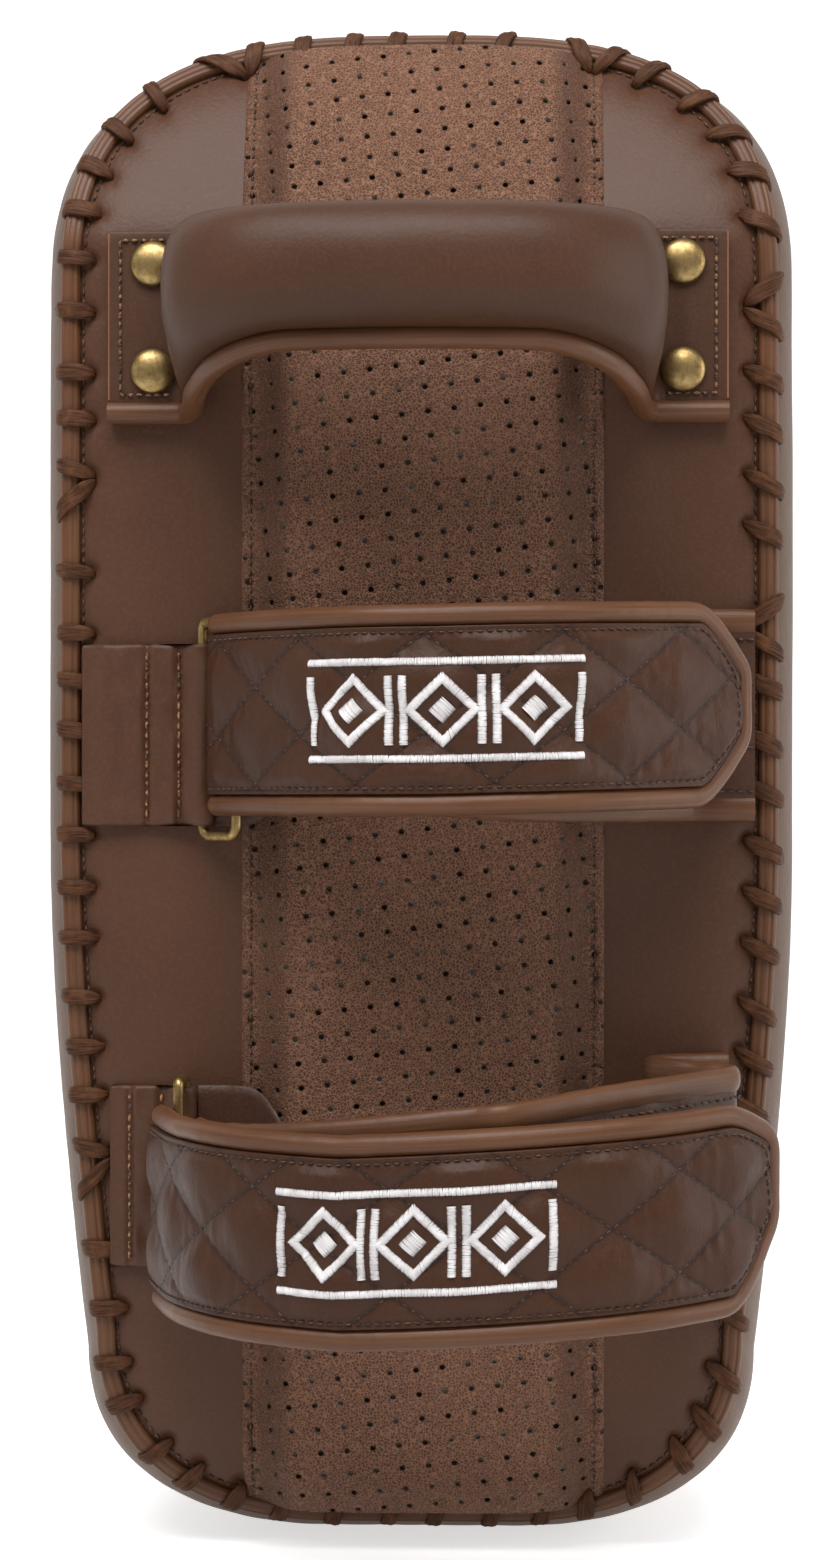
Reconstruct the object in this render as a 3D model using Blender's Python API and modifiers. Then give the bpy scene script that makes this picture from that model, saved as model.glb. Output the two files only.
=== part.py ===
"""Thai pad: a curved kick pad with a riveted grip handle and two ring-and-flap forearm straps.

Metres.  +Z runs up along the pad's length and X across it.  The arm side, with the handle and the
straps, faces -Y and the struck side +Y.  The origin is on the flat lower end that the pad stands on.
A standoff is a distance off the arm side towards the arm, so it runs along -Y.
"""
import math

import bmesh
import bpy

# Pad body
PAD_HEIGHT = 0.397          # side wall, from the lower end to the upper end
PAD_HALF_WIDTH = 0.098      # side wall, half across its middle
PAD_DEPTH = 0.090           # arm side to struck side at the middle
LOWER_CORNER = 0.050        # height of the rounded lower corners
UPPER_CORNER = 0.322        # level where the rounded upper corners start
LOWER_FLAT = 0.024          # half width of the flat of the lower end
TAPER = 0.010               # how much the sides draw in towards the lower corners
TAPER_START = 0.180
TAPER_POWER = 1.6
LOWER_CORNER_POWER = 2.2    # squareness of the corners: 2 is an ellipse
UPPER_CORNER_POWER = 3.0
UPPER_CORNER_END = 0.985    # share of the upper corner where its outline is cut off flat
UPPER_BEND_START = 0.338    # level where the upper end bends back towards the struck side
UPPER_BEND_SLOPE = 0.466
UPPER_BEND_EASE = 0.012     # length over which that bend sets in
LOWER_BEND_START = 0.034
LOWER_BEND = 13.8           # curvature of the lower end's bend
STRIKE_SWEEP = 0.016        # how far the ends of the struck side come forward
GAP = 0.0003                # clearance between touching pieces
LEATHER = 0.0018
WALL_THICKNESS = 0.0022

# Edge seam of the arm side
SEAM_DEPTH = 0.003          # seam line behind the arm side's face
BINDING_RADIUS = 0.0021
LACE_RADIUS = 0.0010
LACE_TURN_RADIUS = 0.0046   # from the seam line to the middle of the lace
LACE_TURNS = 76
SEAM_POINTS = 52

# Centre panel
CENTER_HALF_WIDTH = 0.0465
CENTER_RAISED_HALF_WIDTH = 0.0345
CENTER_RAISE = 0.0040
CENTER_RAISE_SLOPE = 0.009  # width of the slope down at its sides
SLIP_CLEARANCE = 0.001      # between the foam slip and the panel over it

# Handle
TAB_OUTER_X = 0.0794
TAB_Z = (0.2962, 0.3410)
GRIP_Z = (0.3095, 0.3406)
TAB_LENGTH = 0.0180
GRIP_START = 0.0560         # distance from the handle's end where it has its full thickness
EDGE_START = 0.0780         # and where its two edges have come to the grip's
GRIP_STEPS = 9
TAB_HALF_THICKNESS = 0.0019
GRIP_SQUARENESS = 0.77      # power on the section's cosine and sine: 1 is an ellipse
GRIP_OPENING = 36.0         # degrees of the cover's section left open along its lower edge
GRIP_HALF_THICKNESS = 0.0120
HANDLE_LEATHER = 0.0012
HANDLE_PIPING_RADIUS = 0.0029
WEBBING_HALF_WIDTHS = (0.0170, 0.0095)  # on the tabs and in the grip
WEBBING_HALF_THICKNESS = 0.0004
WEBBING_SETBACK = 0.78      # share of the section's growth that the webbing lies behind its middle
CORE_START = 0.0480
CORE_CLEARANCE = 0.0015     # between the cover's middle and the foam roll
RIVET_X = 0.0682
RIVET_Z = (0.3047, 0.3324)
RIVET_CAP_RADIUS = 0.00585
RIVET_POST_RADIUS = 0.0020
RIVET_HOLE_RADIUS = 0.0023
RIVET_SEAT = 0.0056         # standoff of the cap's underside
RIVET_FOOT = -0.0036        # standoff of the post's inner end
WASHER_RADIUS = 0.0060
WASHER_POCKET_RADIUS = 0.0064
WASHER_STANDOFFS = (-0.0033, -0.0021)
POCKET_STANDOFFS = (-0.0039, -0.0019)

# Forearm straps
LACE_CLEARANCE = 0.0064     # straps start this far inside the seam line
BAND_THICKNESS = 0.0030
BAND_HALF_HEIGHT = 0.0235
EYE_RADIUS = 0.0030
EYE_HOLE_RADIUS = 0.00175
RING_WIRE_RADIUS = 0.0014
RING_HALF_HEIGHT = 0.0281   # wire centre to wire centre, half
RING_WIDTH = 0.0125         # from its inner bar to its outer bar
RING_CORNER = 0.003
FLAP_THICKNESS = 0.0055
FLAP_HALF_HEIGHT = 0.0205
FLAP_WRAP_RADIUS = 0.00445  # middle of the flap round the ring's outer bar
FLAP_PIPING_RADIUS = 0.0027
FLAP_STEPS = 22
TIP_LENGTH = 0.014          # stretch of the flap over which its corners are cut off
TIP_POWER = 1.3             # and how late they fall away: 1 is a straight cut
LINING_START = 0.010        # lining and piping start this far past the fold
BASE_START = 0.0095         # and so does the base strap
FASTENER_MARGIN = 0.004     # the fastener is this much narrower at each edge
SHEET = 0.0010              # lining and both halves of the fastener
BASE_THICKNESS = 0.0030
BASE_HALF_HEIGHTS = (0.0190, 0.0235)    # by the ring and at the seam
BASE_WIDENING = 1.6         # it has its full height at 1 / 1.6 of its length
BASE_SEAM_STANDOFF = 0.0025
BASE_BINDING_RADIUS = 0.0022
GUARD_END_X = -0.0310       # free end of the leather tongue under the ring
GUARD_THICKNESS = 0.0016

STRAPS = {
    "upper": {
        "band_z": 0.2110, "ring_z": 0.2130, "eye_x": -0.0555, "ring_angle": 41.0,
        "rise_angle": 62.0, "flap_z": [(0.0, 0.2160), (0.5, 0.2163), (1.0, 0.2185)],
        "arch": [(-0.0350, 0.0320), (-0.0130, 0.0500), (0.0120, 0.0550), (0.0400, 0.0490),
                 (0.0640, 0.0340), (0.0805, 0.0192)],
        "chamfers": (0.013, 0.013), "base_length": 0.72,
        "turn": [(0.0640, 0.0085), (0.0700, 0.0030), (0.0770, 0.0024)],
        "seam_z": 0.2160, "fastener": (0.50, 0.70),
    },
    "lower": {
        "band_z": 0.0970, "ring_z": 0.0955, "eye_x": -0.0600, "ring_angle": 92.0,
        "rise_angle": 78.0, "flap_z": [(0.0, 0.0915), (0.45, 0.0890), (1.0, 0.0960)],
        "arch": [(-0.0560, 0.0420), (-0.0380, 0.0620), (-0.0080, 0.0735), (0.0250, 0.0755),
                 (0.0540, 0.0690), (0.0745, 0.0560), (0.0860, 0.0440)],
        "chamfers": (0.006, 0.017), "base_length": 0.80,
        "turn": [(0.0765, 0.0290), (0.0745, 0.0200), (0.0660, 0.0150), (0.0600, 0.0105),
                 (0.0615, 0.0052), (0.0690, 0.0028)],
        "seam_z": 0.1020, "fastener": (0.52, 0.76),
    },
}

DARK_LEATHER = (0.105, 0.052, 0.033)
LIGHT_LEATHER = (0.255, 0.113, 0.050)
SUEDE = (0.150, 0.066, 0.034)
LACE_BROWN = (0.062, 0.026, 0.011)
FOAM_GREY = (0.230, 0.220, 0.205)
BRASS = (0.330, 0.200, 0.070)
STEEL = (0.450, 0.440, 0.420)
WEBBING = (0.060, 0.035, 0.024)
FASTENER_BROWN = (0.045, 0.026, 0.018)


# ---------------------------------------------------------------- scene and small helpers

for old in list(bpy.data.objects):
    bpy.data.objects.remove(old, do_unlink=True)

parts = bpy.data.collections.new("thai_pad")
cutters = bpy.data.collections.new("cutters")
bpy.context.scene.collection.children.link(parts)
bpy.context.scene.collection.children.link(cutters)


def colour(name, rgb, roughness, metallic=0.0):
    """Give a sub-part its own plain material."""
    material = bpy.data.materials.new(name)
    material.use_nodes = True
    shader = material.node_tree.nodes["Principled BSDF"]
    shader.inputs["Base Color"].default_value = (*rgb, 1.0)
    shader.inputs["Roughness"].default_value = roughness
    shader.inputs["Metallic"].default_value = metallic
    return material


def add_part(name, data, rgb, roughness=0.55, metallic=0.0):
    """Put a mesh or curve in the parts collection under its node's name."""
    data.materials.append(colour(name, rgb, roughness, metallic))
    part = bpy.data.objects.new(name, data)
    parts.objects.link(part)
    return part


def smooth_step(value):
    """Ease from 0 to 1 as the value goes from 0 to 1."""
    value = min(max(value, 0.0), 1.0)
    return value * value * (3.0 - 2.0 * value)


def between(value, low, high):
    """Where a value lies between two limits, as a share from 0 to 1."""
    return min(max((value - low) / (high - low), 0.0), 1.0)


def along(table, share):
    """Read a short table of (share, value) pairs with straight lines between them."""
    for (low, first), (high, last) in zip(table, table[1:]):
        if share <= high:
            return first + (last - first) * between(share, low, high)
    return table[-1][1]


def finish_mesh(name, bm):
    """Turn every face outwards and make a mesh of it."""
    bmesh.ops.recalc_face_normals(bm, faces=bm.faces)
    mesh = bpy.data.meshes.new(name)
    bm.to_mesh(mesh)
    bm.free()
    mesh.shade_smooth()
    mesh.set_sharp_from_angle(angle=math.radians(40.0))
    return mesh


def slice_box(bm, axis, cells):
    """Cut a unit box into equal cells along one of its axes."""
    normal = [0.0, 0.0, 0.0]
    normal[axis] = 1.0
    for cell in range(1, cells):
        point = [0.0, 0.0, 0.0]
        point[axis] = cell / cells - 0.5
        geometry = bm.verts[:] + bm.edges[:] + bm.faces[:]
        bmesh.ops.bisect_plane(bm, geom=geometry, plane_co=point, plane_no=normal, dist=1e-6)


def mapped_slab(name, columns, rows, place):
    """A box cut into columns and rows, with each corner moved to place(column, row, layer)."""
    bm = bmesh.new()
    bmesh.ops.create_cube(bm, size=1.0)
    slice_box(bm, 0, columns)
    slice_box(bm, 1, rows)
    for vertex in bm.verts:
        column = round((vertex.co.x + 0.5) * columns)
        row = round((vertex.co.y + 0.5) * rows)
        layer = round(vertex.co.z + 0.5)
        vertex.co = place(column, row, layer)
    return finish_mesh(name, bm)


def tube(name, points, radius, sides_level, cyclic):
    """A round piping or wire through the points, with closed ends."""
    curve = bpy.data.curves.new(name, "CURVE")
    curve.dimensions = "3D"
    curve.bevel_depth = radius
    curve.bevel_resolution = sides_level
    curve.use_fill_caps = True
    spline = curve.splines.new("POLY")
    spline.points.add(len(points) - 1)
    for target, point in zip(spline.points, points):
        target.co = (*point, 1.0)
    spline.use_cyclic_u = cyclic
    return curve


def turned(name, profile, steps, rgb, metallic):
    """A profile of (radius, height) corners turned round the object's own Z axis."""
    mesh = bpy.data.meshes.new(name)
    edges = [(corner, corner + 1) for corner in range(len(profile) - 1)]
    mesh.from_pydata([(radius, 0.0, height) for radius, height in profile], edges, [])
    part = add_part(name, mesh, rgb, 0.35, metallic)
    screw = part.modifiers.new("turn", "SCREW")
    screw.steps = steps
    screw.render_steps = steps
    screw.use_merge_vertices = True
    screw.merge_threshold = 0.00001
    screw.use_smooth_shade = True
    return part


# ---------------------------------------------------------------- the pad's outline and faces

def full_half_width(level):
    """Half the side wall's width at a level: drawn in below, with rounded corners at both ends."""
    fall = between(TAPER_START - level, 0.0, TAPER_START - LOWER_CORNER)
    width = PAD_HALF_WIDTH - TAPER * fall ** TAPER_POWER
    if level < LOWER_CORNER:
        reach = min((LOWER_CORNER - level) / LOWER_CORNER, 1.0)
        corner = (1.0 - reach ** LOWER_CORNER_POWER) ** (1.0 / LOWER_CORNER_POWER)
        return LOWER_FLAT + (width - LOWER_FLAT) * corner
    if level > UPPER_CORNER:
        reach = min((level - UPPER_CORNER) / (PAD_HEIGHT - UPPER_CORNER), UPPER_CORNER_END)
        return width * (1.0 - reach ** UPPER_CORNER_POWER) ** (1.0 / UPPER_CORNER_POWER)
    return width


def level_list():
    """Levels from the lower end to the upper end, close together in the corners and the bends."""
    lower = [LOWER_CORNER * (1.0 - math.cos(math.radians(15.0 * step))) for step in range(6)]
    middle = [LOWER_CORNER + (UPPER_CORNER - LOWER_CORNER) * step / 5 for step in range(6)]
    corner = PAD_HEIGHT - UPPER_CORNER
    upper = [UPPER_CORNER + corner * math.sin(math.radians(angle)) for angle in (13, 26, 38, 50, 63, 90)]
    return lower + middle + upper


LEVELS = level_list()


def smooth_arm_y(level):
    """Y of the arm side: flat along the middle, both ends bent towards the struck side."""
    upper = max(level - UPPER_BEND_START, 0.0)
    lower = max(LOWER_BEND_START - level, 0.0)
    upper_shift = UPPER_BEND_SLOPE * upper * upper / (upper + UPPER_BEND_EASE)
    return -PAD_DEPTH / 2 + upper_shift + LOWER_BEND * lower * lower


def smooth_strike_y(level):
    """Y of the struck side, hollow along its length."""
    return PAD_DEPTH / 2 + STRIKE_SWEEP * (2.0 * level / PAD_HEIGHT - 1.0) ** 2


def depth_y(level, depth):
    """Y at a depth below the arm side, with the same facets for every layer."""
    shares = [(step, smooth_arm_y(step)) for step in LEVELS]
    arm = along(shares, level)
    strike = along([(step, smooth_strike_y(step)) for step in LEVELS], level)
    return arm + (strike - arm) * depth / PAD_DEPTH


class Outline:
    """The side wall's outline drawn in by a distance at the sides, the lower end and the upper end.

    widest is the most that its half width may be, for a layer with straight sides.
    """

    def __init__(self, side, lower, upper, widest=PAD_HALF_WIDTH):
        self.narrowing = (PAD_HALF_WIDTH - side) / PAD_HALF_WIDTH
        self.low = lower
        self.high = PAD_HEIGHT - upper
        self.widest = widest

    def half_width(self, z):
        """Half the width at a height above the origin."""
        level = (z - self.low) / (self.high - self.low) * PAD_HEIGHT
        return min(full_half_width(level) * self.narrowing, self.widest)

    def rows(self, clearance=0.001):
        """The shared levels that lie inside the outline, with its own two ends."""
        inside = [level for level in LEVELS if self.low + clearance < level < self.high - clearance]
        return [self.low] + inside + [self.high]

    def ring(self):
        """Corners (x, z) all round, at levels spread over the outline's own height."""
        heights = [self.low + level / PAD_HEIGHT * (self.high - self.low) for level in LEVELS]
        right = [(self.half_width(z), z) for z in heights]
        return right + [(-x, z) for x, z in reversed(right)]

    def even_points(self, count, start=0.0):
        """Points (x, z) all round at equal distances, from the middle of the lower end."""
        fine = 90
        heights = [self.low + (self.high - self.low) * (0.5 - 0.5 * math.cos(math.pi * step / fine))
                   for step in range(fine + 1)]
        right = [(0.0, self.low)] + [(self.half_width(z), z) for z in heights] + [(0.0, self.high)]
        path = right + [(-x, z) for x, z in reversed(right)]
        lengths = [0.0]
        for first, last in zip(path, path[1:]):
            lengths.append(lengths[-1] + math.dist(first, last))
        spots = []
        for step in range(count):
            spots.append(point_at(path, lengths, lengths[-1] * (step + start) / count))
        return spots


def point_at(path, lengths, distance):
    """The point of a polyline at a distance along it."""
    for index in range(1, len(path)):
        if distance <= lengths[index]:
            share = between(distance, lengths[index - 1], lengths[index] + 1e-12)
            first, last = path[index - 1], path[index]
            return tuple(a + (b - a) * share for a, b in zip(first, last))
    return path[-1]


def pad_layer(name, columns, back, front, rgb, rise=None, side=None):
    """A layer of the pad between its back and its front, each an (outline, depth) pair.

    side is the inner edge's x, on a layer that covers one side only, and rise gives an extra
    standoff of both faces at an x.
    """
    rows = front[0].rows()
    if side:
        rows = [z for z in rows if front[0].half_width(z) > abs(side) + 0.002]

    def place(column, row, layer):
        outline, depth = back if layer else front
        share = (rows[row] - front[0].low) / (front[0].high - front[0].low)
        z = outline.low + share * (outline.high - outline.low)
        reach = outline.half_width(z)
        share = column / columns
        if side:
            x = side + (math.copysign(reach, side) - side) * share
        else:
            x = reach * (2.0 * share - 1.0)
        lift = rise(x) if rise else 0.0
        return (x, depth_y(z, depth) - lift, z)

    return add_part(name, mapped_slab(name, columns, len(rows) - 1, place), rgb)


# ---------------------------------------------------------------- pad body

SEAM = Outline(0.0075, 0.0075, 0.0025)
PANEL = Outline(0.0137, 0.0137, 0.0090)
CENTER_PANEL = Outline(0.0137, 0.0137, 0.0090, CENTER_HALF_WIDTH)
CENTER_SLIP = Outline(0.0, 0.0270, 0.0260, CENTER_RAISED_HALF_WIDTH - 0.004)


def make_panels():
    """The three leather panels of the arm side."""
    inner = CENTER_HALF_WIDTH + GAP
    faces = ((PANEL, 0.0), (PANEL, LEATHER))
    pad_layer("back_panel_left", 3, *faces, DARK_LEATHER, side=-inner)
    pad_layer("back_panel_right", 3, *faces, DARK_LEATHER, side=inner)

    def raised(x):
        slope = (CENTER_RAISED_HALF_WIDTH, CENTER_RAISED_HALF_WIDTH + CENTER_RAISE_SLOPE)
        return CENTER_RAISE * (1.0 - between(abs(x), *slope))

    faces = ((CENTER_PANEL, 0.0), (CENTER_PANEL, LEATHER))
    pad_layer("back_center_panel", 8, *faces, SUEDE, rise=raised)


def make_foam():
    """The foam slip under the centre panel and the three layers that fill the pad."""
    top = LEATHER - CENTER_RAISE + SLIP_CLEARANCE
    pad_layer("back_center_foam", 4, (CENTER_SLIP, top), (CENTER_SLIP, LEATHER), FOAM_GREY)
    narrow = Outline(0.0165, 0.0185, 0.0125)
    full = Outline(0.0042, 0.0042, 0.0042)
    soft = Outline(0.0058, 0.0058, 0.0058)
    pad_layer("foam_back_firm", 6, (narrow, 0.0028), (full, 0.0170), FOAM_GREY)
    pad_layer("foam_core", 6, (full, 0.0173), (full, 0.0650), FOAM_GREY)
    pad_layer("foam_strike_soft", 6, (full, 0.0653), (soft, 0.0872), FOAM_GREY)


def make_cover_and_wall():
    """The struck side's cover, the gusset round the pad and the piping between them."""
    cover = Outline(0.0062, 0.0062, 0.0062)
    pad_layer("strike_cover", 6, (cover, 0.0875), (cover, PAD_DEPTH), DARK_LEATHER)
    seam = Outline(0.0030, 0.0030, 0.0030)
    points = [(x, depth_y(z, 0.0885), z) for x, z in seam.even_points(SEAM_POINTS, 0.5)]
    add_part("strike_piping", tube("strike_piping", points, 0.0022, 1, True), LIGHT_LEATHER)

    sections = [(0.0100, 0.0025, 0.0030), (0.0170, 0.0, 0.0008), (0.0260, 0.0, 0.0),
                (0.0760, 0.0, 0.0), (0.0850, 0.0022, 0.0022)]
    loops = []
    for depth, inset, upper in sections:
        loops.append([(x, depth_y(z, depth), z) for x, z in Outline(inset, inset, upper).ring()])
    corners = len(loops[0])
    bm = bmesh.new()
    bmesh.ops.create_grid(bm, x_segments=corners, y_segments=len(loops) - 1, size=0.5)
    for vertex in bm.verts:
        corner = round((vertex.co.x + 0.5) * corners) % corners
        section = round((vertex.co.y + 0.5) * (len(loops) - 1))
        vertex.co = loops[section][corner]
    bmesh.ops.remove_doubles(bm, verts=bm.verts, dist=0.00001)
    wall = add_part("side_wall", finish_mesh("side_wall", bm), DARK_LEATHER)
    thickness = wall.modifiers.new("thickness", "SOLIDIFY")
    thickness.thickness = WALL_THICKNESS
    thickness.offset = -1.0


def make_edge_seam():
    """The piping round the arm side's seam and the lace whipped over it."""
    line = [(x, depth_y(z, SEAM_DEPTH), z) for x, z in SEAM.even_points(SEAM_POINTS, 0.5)]
    add_part("edge_binding", tube("edge_binding", line, BINDING_RADIUS, 1, True), LIGHT_LEATHER)
    closed = line + line[:1]
    lengths = [0.0]
    for first, last in zip(closed, closed[1:]):
        lengths.append(lengths[-1] + math.dist(first, last))
    steps = 4 * LACE_TURNS
    spots = [point_at(closed, lengths, lengths[-1] * step / steps) for step in range(steps)]
    lace = []
    for step, (x, y, z) in enumerate(spots):
        before = spots[step - 1]
        after = spots[(step + 1) % steps]
        run = math.hypot(after[0] - before[0], after[2] - before[2])
        outward = ((after[2] - before[2]) / run, -(after[0] - before[0]) / run)
        turn = math.radians(90.0 * step + 45.0)
        out = LACE_TURN_RADIUS * math.cos(turn)
        forward = LACE_TURN_RADIUS * math.sin(turn)
        lace.append((x + outward[0] * out, y - forward, z + outward[1] * out))
    add_part("edge_lace", tube("edge_lace", lace, LACE_RADIUS, 0, True), LACE_BROWN)


# ---------------------------------------------------------------- routes seen from above

class Route:
    """A smooth line through (x, standoff) points, read by its length, with a normal to its left."""

    def __init__(self, points, smooth=True):
        line = []
        if smooth:
            padded = [points[0]] + list(points) + [points[-1]]
            for index in range(len(points) - 1):
                span = padded[index:index + 4]
                line += [curve_point(span, step / 12) for step in range(12)]
        self.line = line + [points[-1]] if smooth else list(points)
        self.lengths = [0.0]
        for first, last in zip(self.line, self.line[1:]):
            self.lengths.append(self.lengths[-1] + math.dist(first, last))
        self.length = self.lengths[-1]

    def frame(self, distance, offset=0.0):
        """The (x, standoff) point at a distance and an offset, and the unit normal there."""
        reach = 0.0004
        before = point_at(self.line, self.lengths, max(distance - reach, 0.0))
        after = point_at(self.line, self.lengths, min(distance + reach, self.length))
        run = math.dist(before, after)
        normal = (-(after[1] - before[1]) / run, (after[0] - before[0]) / run)
        here = point_at(self.line, self.lengths, distance)
        return (here[0] + normal[0] * offset, here[1] + normal[1] * offset), normal


def curve_point(span, share):
    """A point of the Catmull-Rom curve between the middle two of four points."""
    values = []
    for a, b, c, d in zip(*span):
        bend = (2 * a - 5 * b + 4 * c - d) * share ** 2 + (3 * b - a - 3 * c + d) * share ** 3
        values.append(0.5 * (2 * b + (c - a) * share + bend))
    return tuple(values)


def world(point, z):
    """A world point from an (x, standoff) point and a height."""
    return (point[0], -PAD_DEPTH / 2 - point[1], z)


def ribbon(name, frames, low_offset, high_offset, height, columns=2):
    """A strip along frames, between two offsets, where height(row) gives its lower and upper edge."""
    def place(column, row, layer):
        (x, standoff), normal = frames[row]
        offset = high_offset if layer else low_offset
        lower, upper = height(row)
        z = lower + (upper - lower) * column / columns
        return world((x + normal[0] * offset, standoff + normal[1] * offset), z)

    return mapped_slab(name, columns, len(frames) - 1, place)


# ---------------------------------------------------------------- handle

HANDLE_HALF = [(-TAB_OUTER_X, 0.0028), (-0.0700, 0.0028), (-0.0615, 0.0028), (-0.0580, 0.0075),
               (-0.0550, 0.0230), (-0.0470, 0.0380), (-0.0300, 0.0475), (0.0, 0.0510)]
HANDLE = Route(HANDLE_HALF + [(-x, standoff) for x, standoff in reversed(HANDLE_HALF[:-1])])


def handle_rows():
    """Distances along the handle that all its layers share, close together where it leaves the tabs."""
    half = HANDLE.length / 2
    rise = [TAB_LENGTH + (half - TAB_LENGTH) * (step / GRIP_STEPS) ** 1.3 for step in range(GRIP_STEPS + 1)]
    near = [0.0, TAB_LENGTH / 2] + rise
    return near + [HANDLE.length - distance for distance in reversed(near[:-1])]


def grip_share(distance):
    """0 on the tabs and 1 on the grip."""
    near = min(distance, HANDLE.length - distance)
    return smooth_step(between(near, TAB_LENGTH, GRIP_START))


def handle_section(distance):
    """Lower edge, upper edge and half thickness of the handle at a distance along it."""
    near = min(distance, HANDLE.length - distance)
    edge_share = smooth_step(between(near, TAB_LENGTH, EDGE_START))
    lower = TAB_Z[0] + (GRIP_Z[0] - TAB_Z[0]) * edge_share
    upper = TAB_Z[1] + (GRIP_Z[1] - TAB_Z[1]) * edge_share
    share = grip_share(distance)
    thick = TAB_HALF_THICKNESS + (GRIP_HALF_THICKNESS - TAB_HALF_THICKNESS) * share
    return lower, upper, thick


def rounded(angle, power):
    """Cosine and sine of an angle, squared off by a power below 1."""
    across = math.copysign(abs(math.cos(angle)) ** power, math.cos(angle))
    up = math.copysign(abs(math.sin(angle)) ** power, math.sin(angle))
    return across, up


def make_handle():
    """The grip: a leather fold over a foam roll and a webbing strap, piped along its lower edge."""
    distances = handle_rows()
    rows, columns = len(distances) - 1, 10
    frames = [HANDLE.frame(distance) for distance in distances]
    sections = [handle_section(distance) for distance in distances]
    shares = [grip_share(distance) for distance in distances]
    bm = bmesh.new()
    bmesh.ops.create_grid(bm, x_segments=columns, y_segments=rows, size=0.5)
    for vertex in bm.verts:
        angle = math.radians(GRIP_OPENING / 2 - 90.0 + (360.0 - GRIP_OPENING) * (vertex.co.x + 0.5))
        row = round((vertex.co.y + 0.5) * rows)
        (x, standoff), normal = frames[row]
        lower, upper, thick = sections[row]
        across, up = rounded(angle, GRIP_SQUARENESS)
        point = (x + normal[0] * across * thick, standoff + normal[1] * across * thick)
        vertex.co = world(point, (lower + upper) / 2 + up * (upper - lower) / 2)
    cover = add_part("handle_cover", finish_mesh("handle_cover", bm), DARK_LEATHER)
    thickness = cover.modifiers.new("thickness", "SOLIDIFY")
    thickness.thickness = HANDLE_LEATHER
    thickness.offset = 0.0
    cut(cover, rivet_holes)

    def webbing_place(column, row, layer):
        (x, standoff), normal = frames[row]
        lower, upper, thick = sections[row]
        half = WEBBING_HALF_WIDTHS[0] + (WEBBING_HALF_WIDTHS[1] - WEBBING_HALF_WIDTHS[0]) * shares[row]
        middle = -WEBBING_SETBACK * (thick - TAB_HALF_THICKNESS)
        offset = middle + WEBBING_HALF_THICKNESS * (2 * layer - 1)
        z = (lower + upper) / 2 + half * (2 * column - 1)
        return world((x + normal[0] * offset, standoff + normal[1] * offset), z)

    webbing = add_part("handle_webbing", mapped_slab("handle_webbing", 1, rows, webbing_place), WEBBING)
    cut(webbing, rivet_holes)
    make_handle_core()
    points = []
    for row in range(rows + 1):
        lower = sections[row][0]
        x, standoff = frames[row][0]
        clear = max(standoff, HANDLE_PIPING_RADIUS + GAP)
        points.append(world((x, clear), lower - HANDLE_PIPING_RADIUS - GAP))
    add_part("handle_piping", tube("handle_piping", points, HANDLE_PIPING_RADIUS, 1, False), LIGHT_LEATHER)


def make_handle_core():
    """The foam roll, round in front and flat against the webbing behind."""
    distances = [d for d in handle_rows() if CORE_START < d < HANDLE.length - CORE_START]
    rows, sides = len(distances) - 1, 8
    bm = bmesh.new()
    bmesh.ops.create_cone(bm, cap_ends=True, segments=sides, radius1=1.0, radius2=1.0, depth=1.0)
    for cell in range(1, rows):
        geometry = bm.verts[:] + bm.edges[:] + bm.faces[:]
        plane = (0.0, 0.0, cell / rows - 0.5)
        bmesh.ops.bisect_plane(bm, geom=geometry, plane_co=plane, plane_no=(0.0, 0.0, 1.0), dist=1e-6)
    for vertex in bm.verts:
        distance = distances[round((vertex.co.z + 0.5) * rows)]
        lower, upper, thick = handle_section(distance)
        across, up = rounded(math.atan2(vertex.co.y, vertex.co.x), GRIP_SQUARENESS)
        flat = WEBBING_SETBACK * (thick - TAB_HALF_THICKNESS) - WEBBING_HALF_THICKNESS - GAP
        offset = max(across * (thick - CORE_CLEARANCE), -flat)
        point, _ = HANDLE.frame(distance, offset)
        vertex.co = world(point, (lower + upper) / 2 + up * ((upper - lower) / 2 - CORE_CLEARANCE))
    add_part("handle_core", finish_mesh("handle_core", bm), FOAM_GREY)


# ---------------------------------------------------------------- rivets

def cutter(name, radius, standoffs):
    """One hidden cutter of four short cylinders on the rivets' axes."""
    bm = bmesh.new()
    for x, z in rivet_places():
        depth = standoffs[1] - standoffs[0]
        made = bmesh.ops.create_cone(bm, cap_ends=True, segments=10, radius1=radius, radius2=radius,
                                     depth=depth)
        for vertex in made["verts"]:
            along_y = -PAD_DEPTH / 2 - (standoffs[0] + standoffs[1]) / 2 - vertex.co.z
            vertex.co = (x + vertex.co.x, along_y, z + vertex.co.y)
    tool = bpy.data.objects.new(name, finish_mesh(name, bm))
    tool.hide_render = True
    tool.display_type = "WIRE"
    cutters.objects.link(tool)
    return tool


def rivet_places():
    """(x, z) of the four rivets."""
    return [(side * RIVET_X, z) for side in (-1, 1) for z in RIVET_Z]


def cut(part, tool):
    """Take a cutter away from a part."""
    boolean = part.modifiers.new(tool.name, "BOOLEAN")
    boolean.operation = "DIFFERENCE"
    boolean.object = tool


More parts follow.
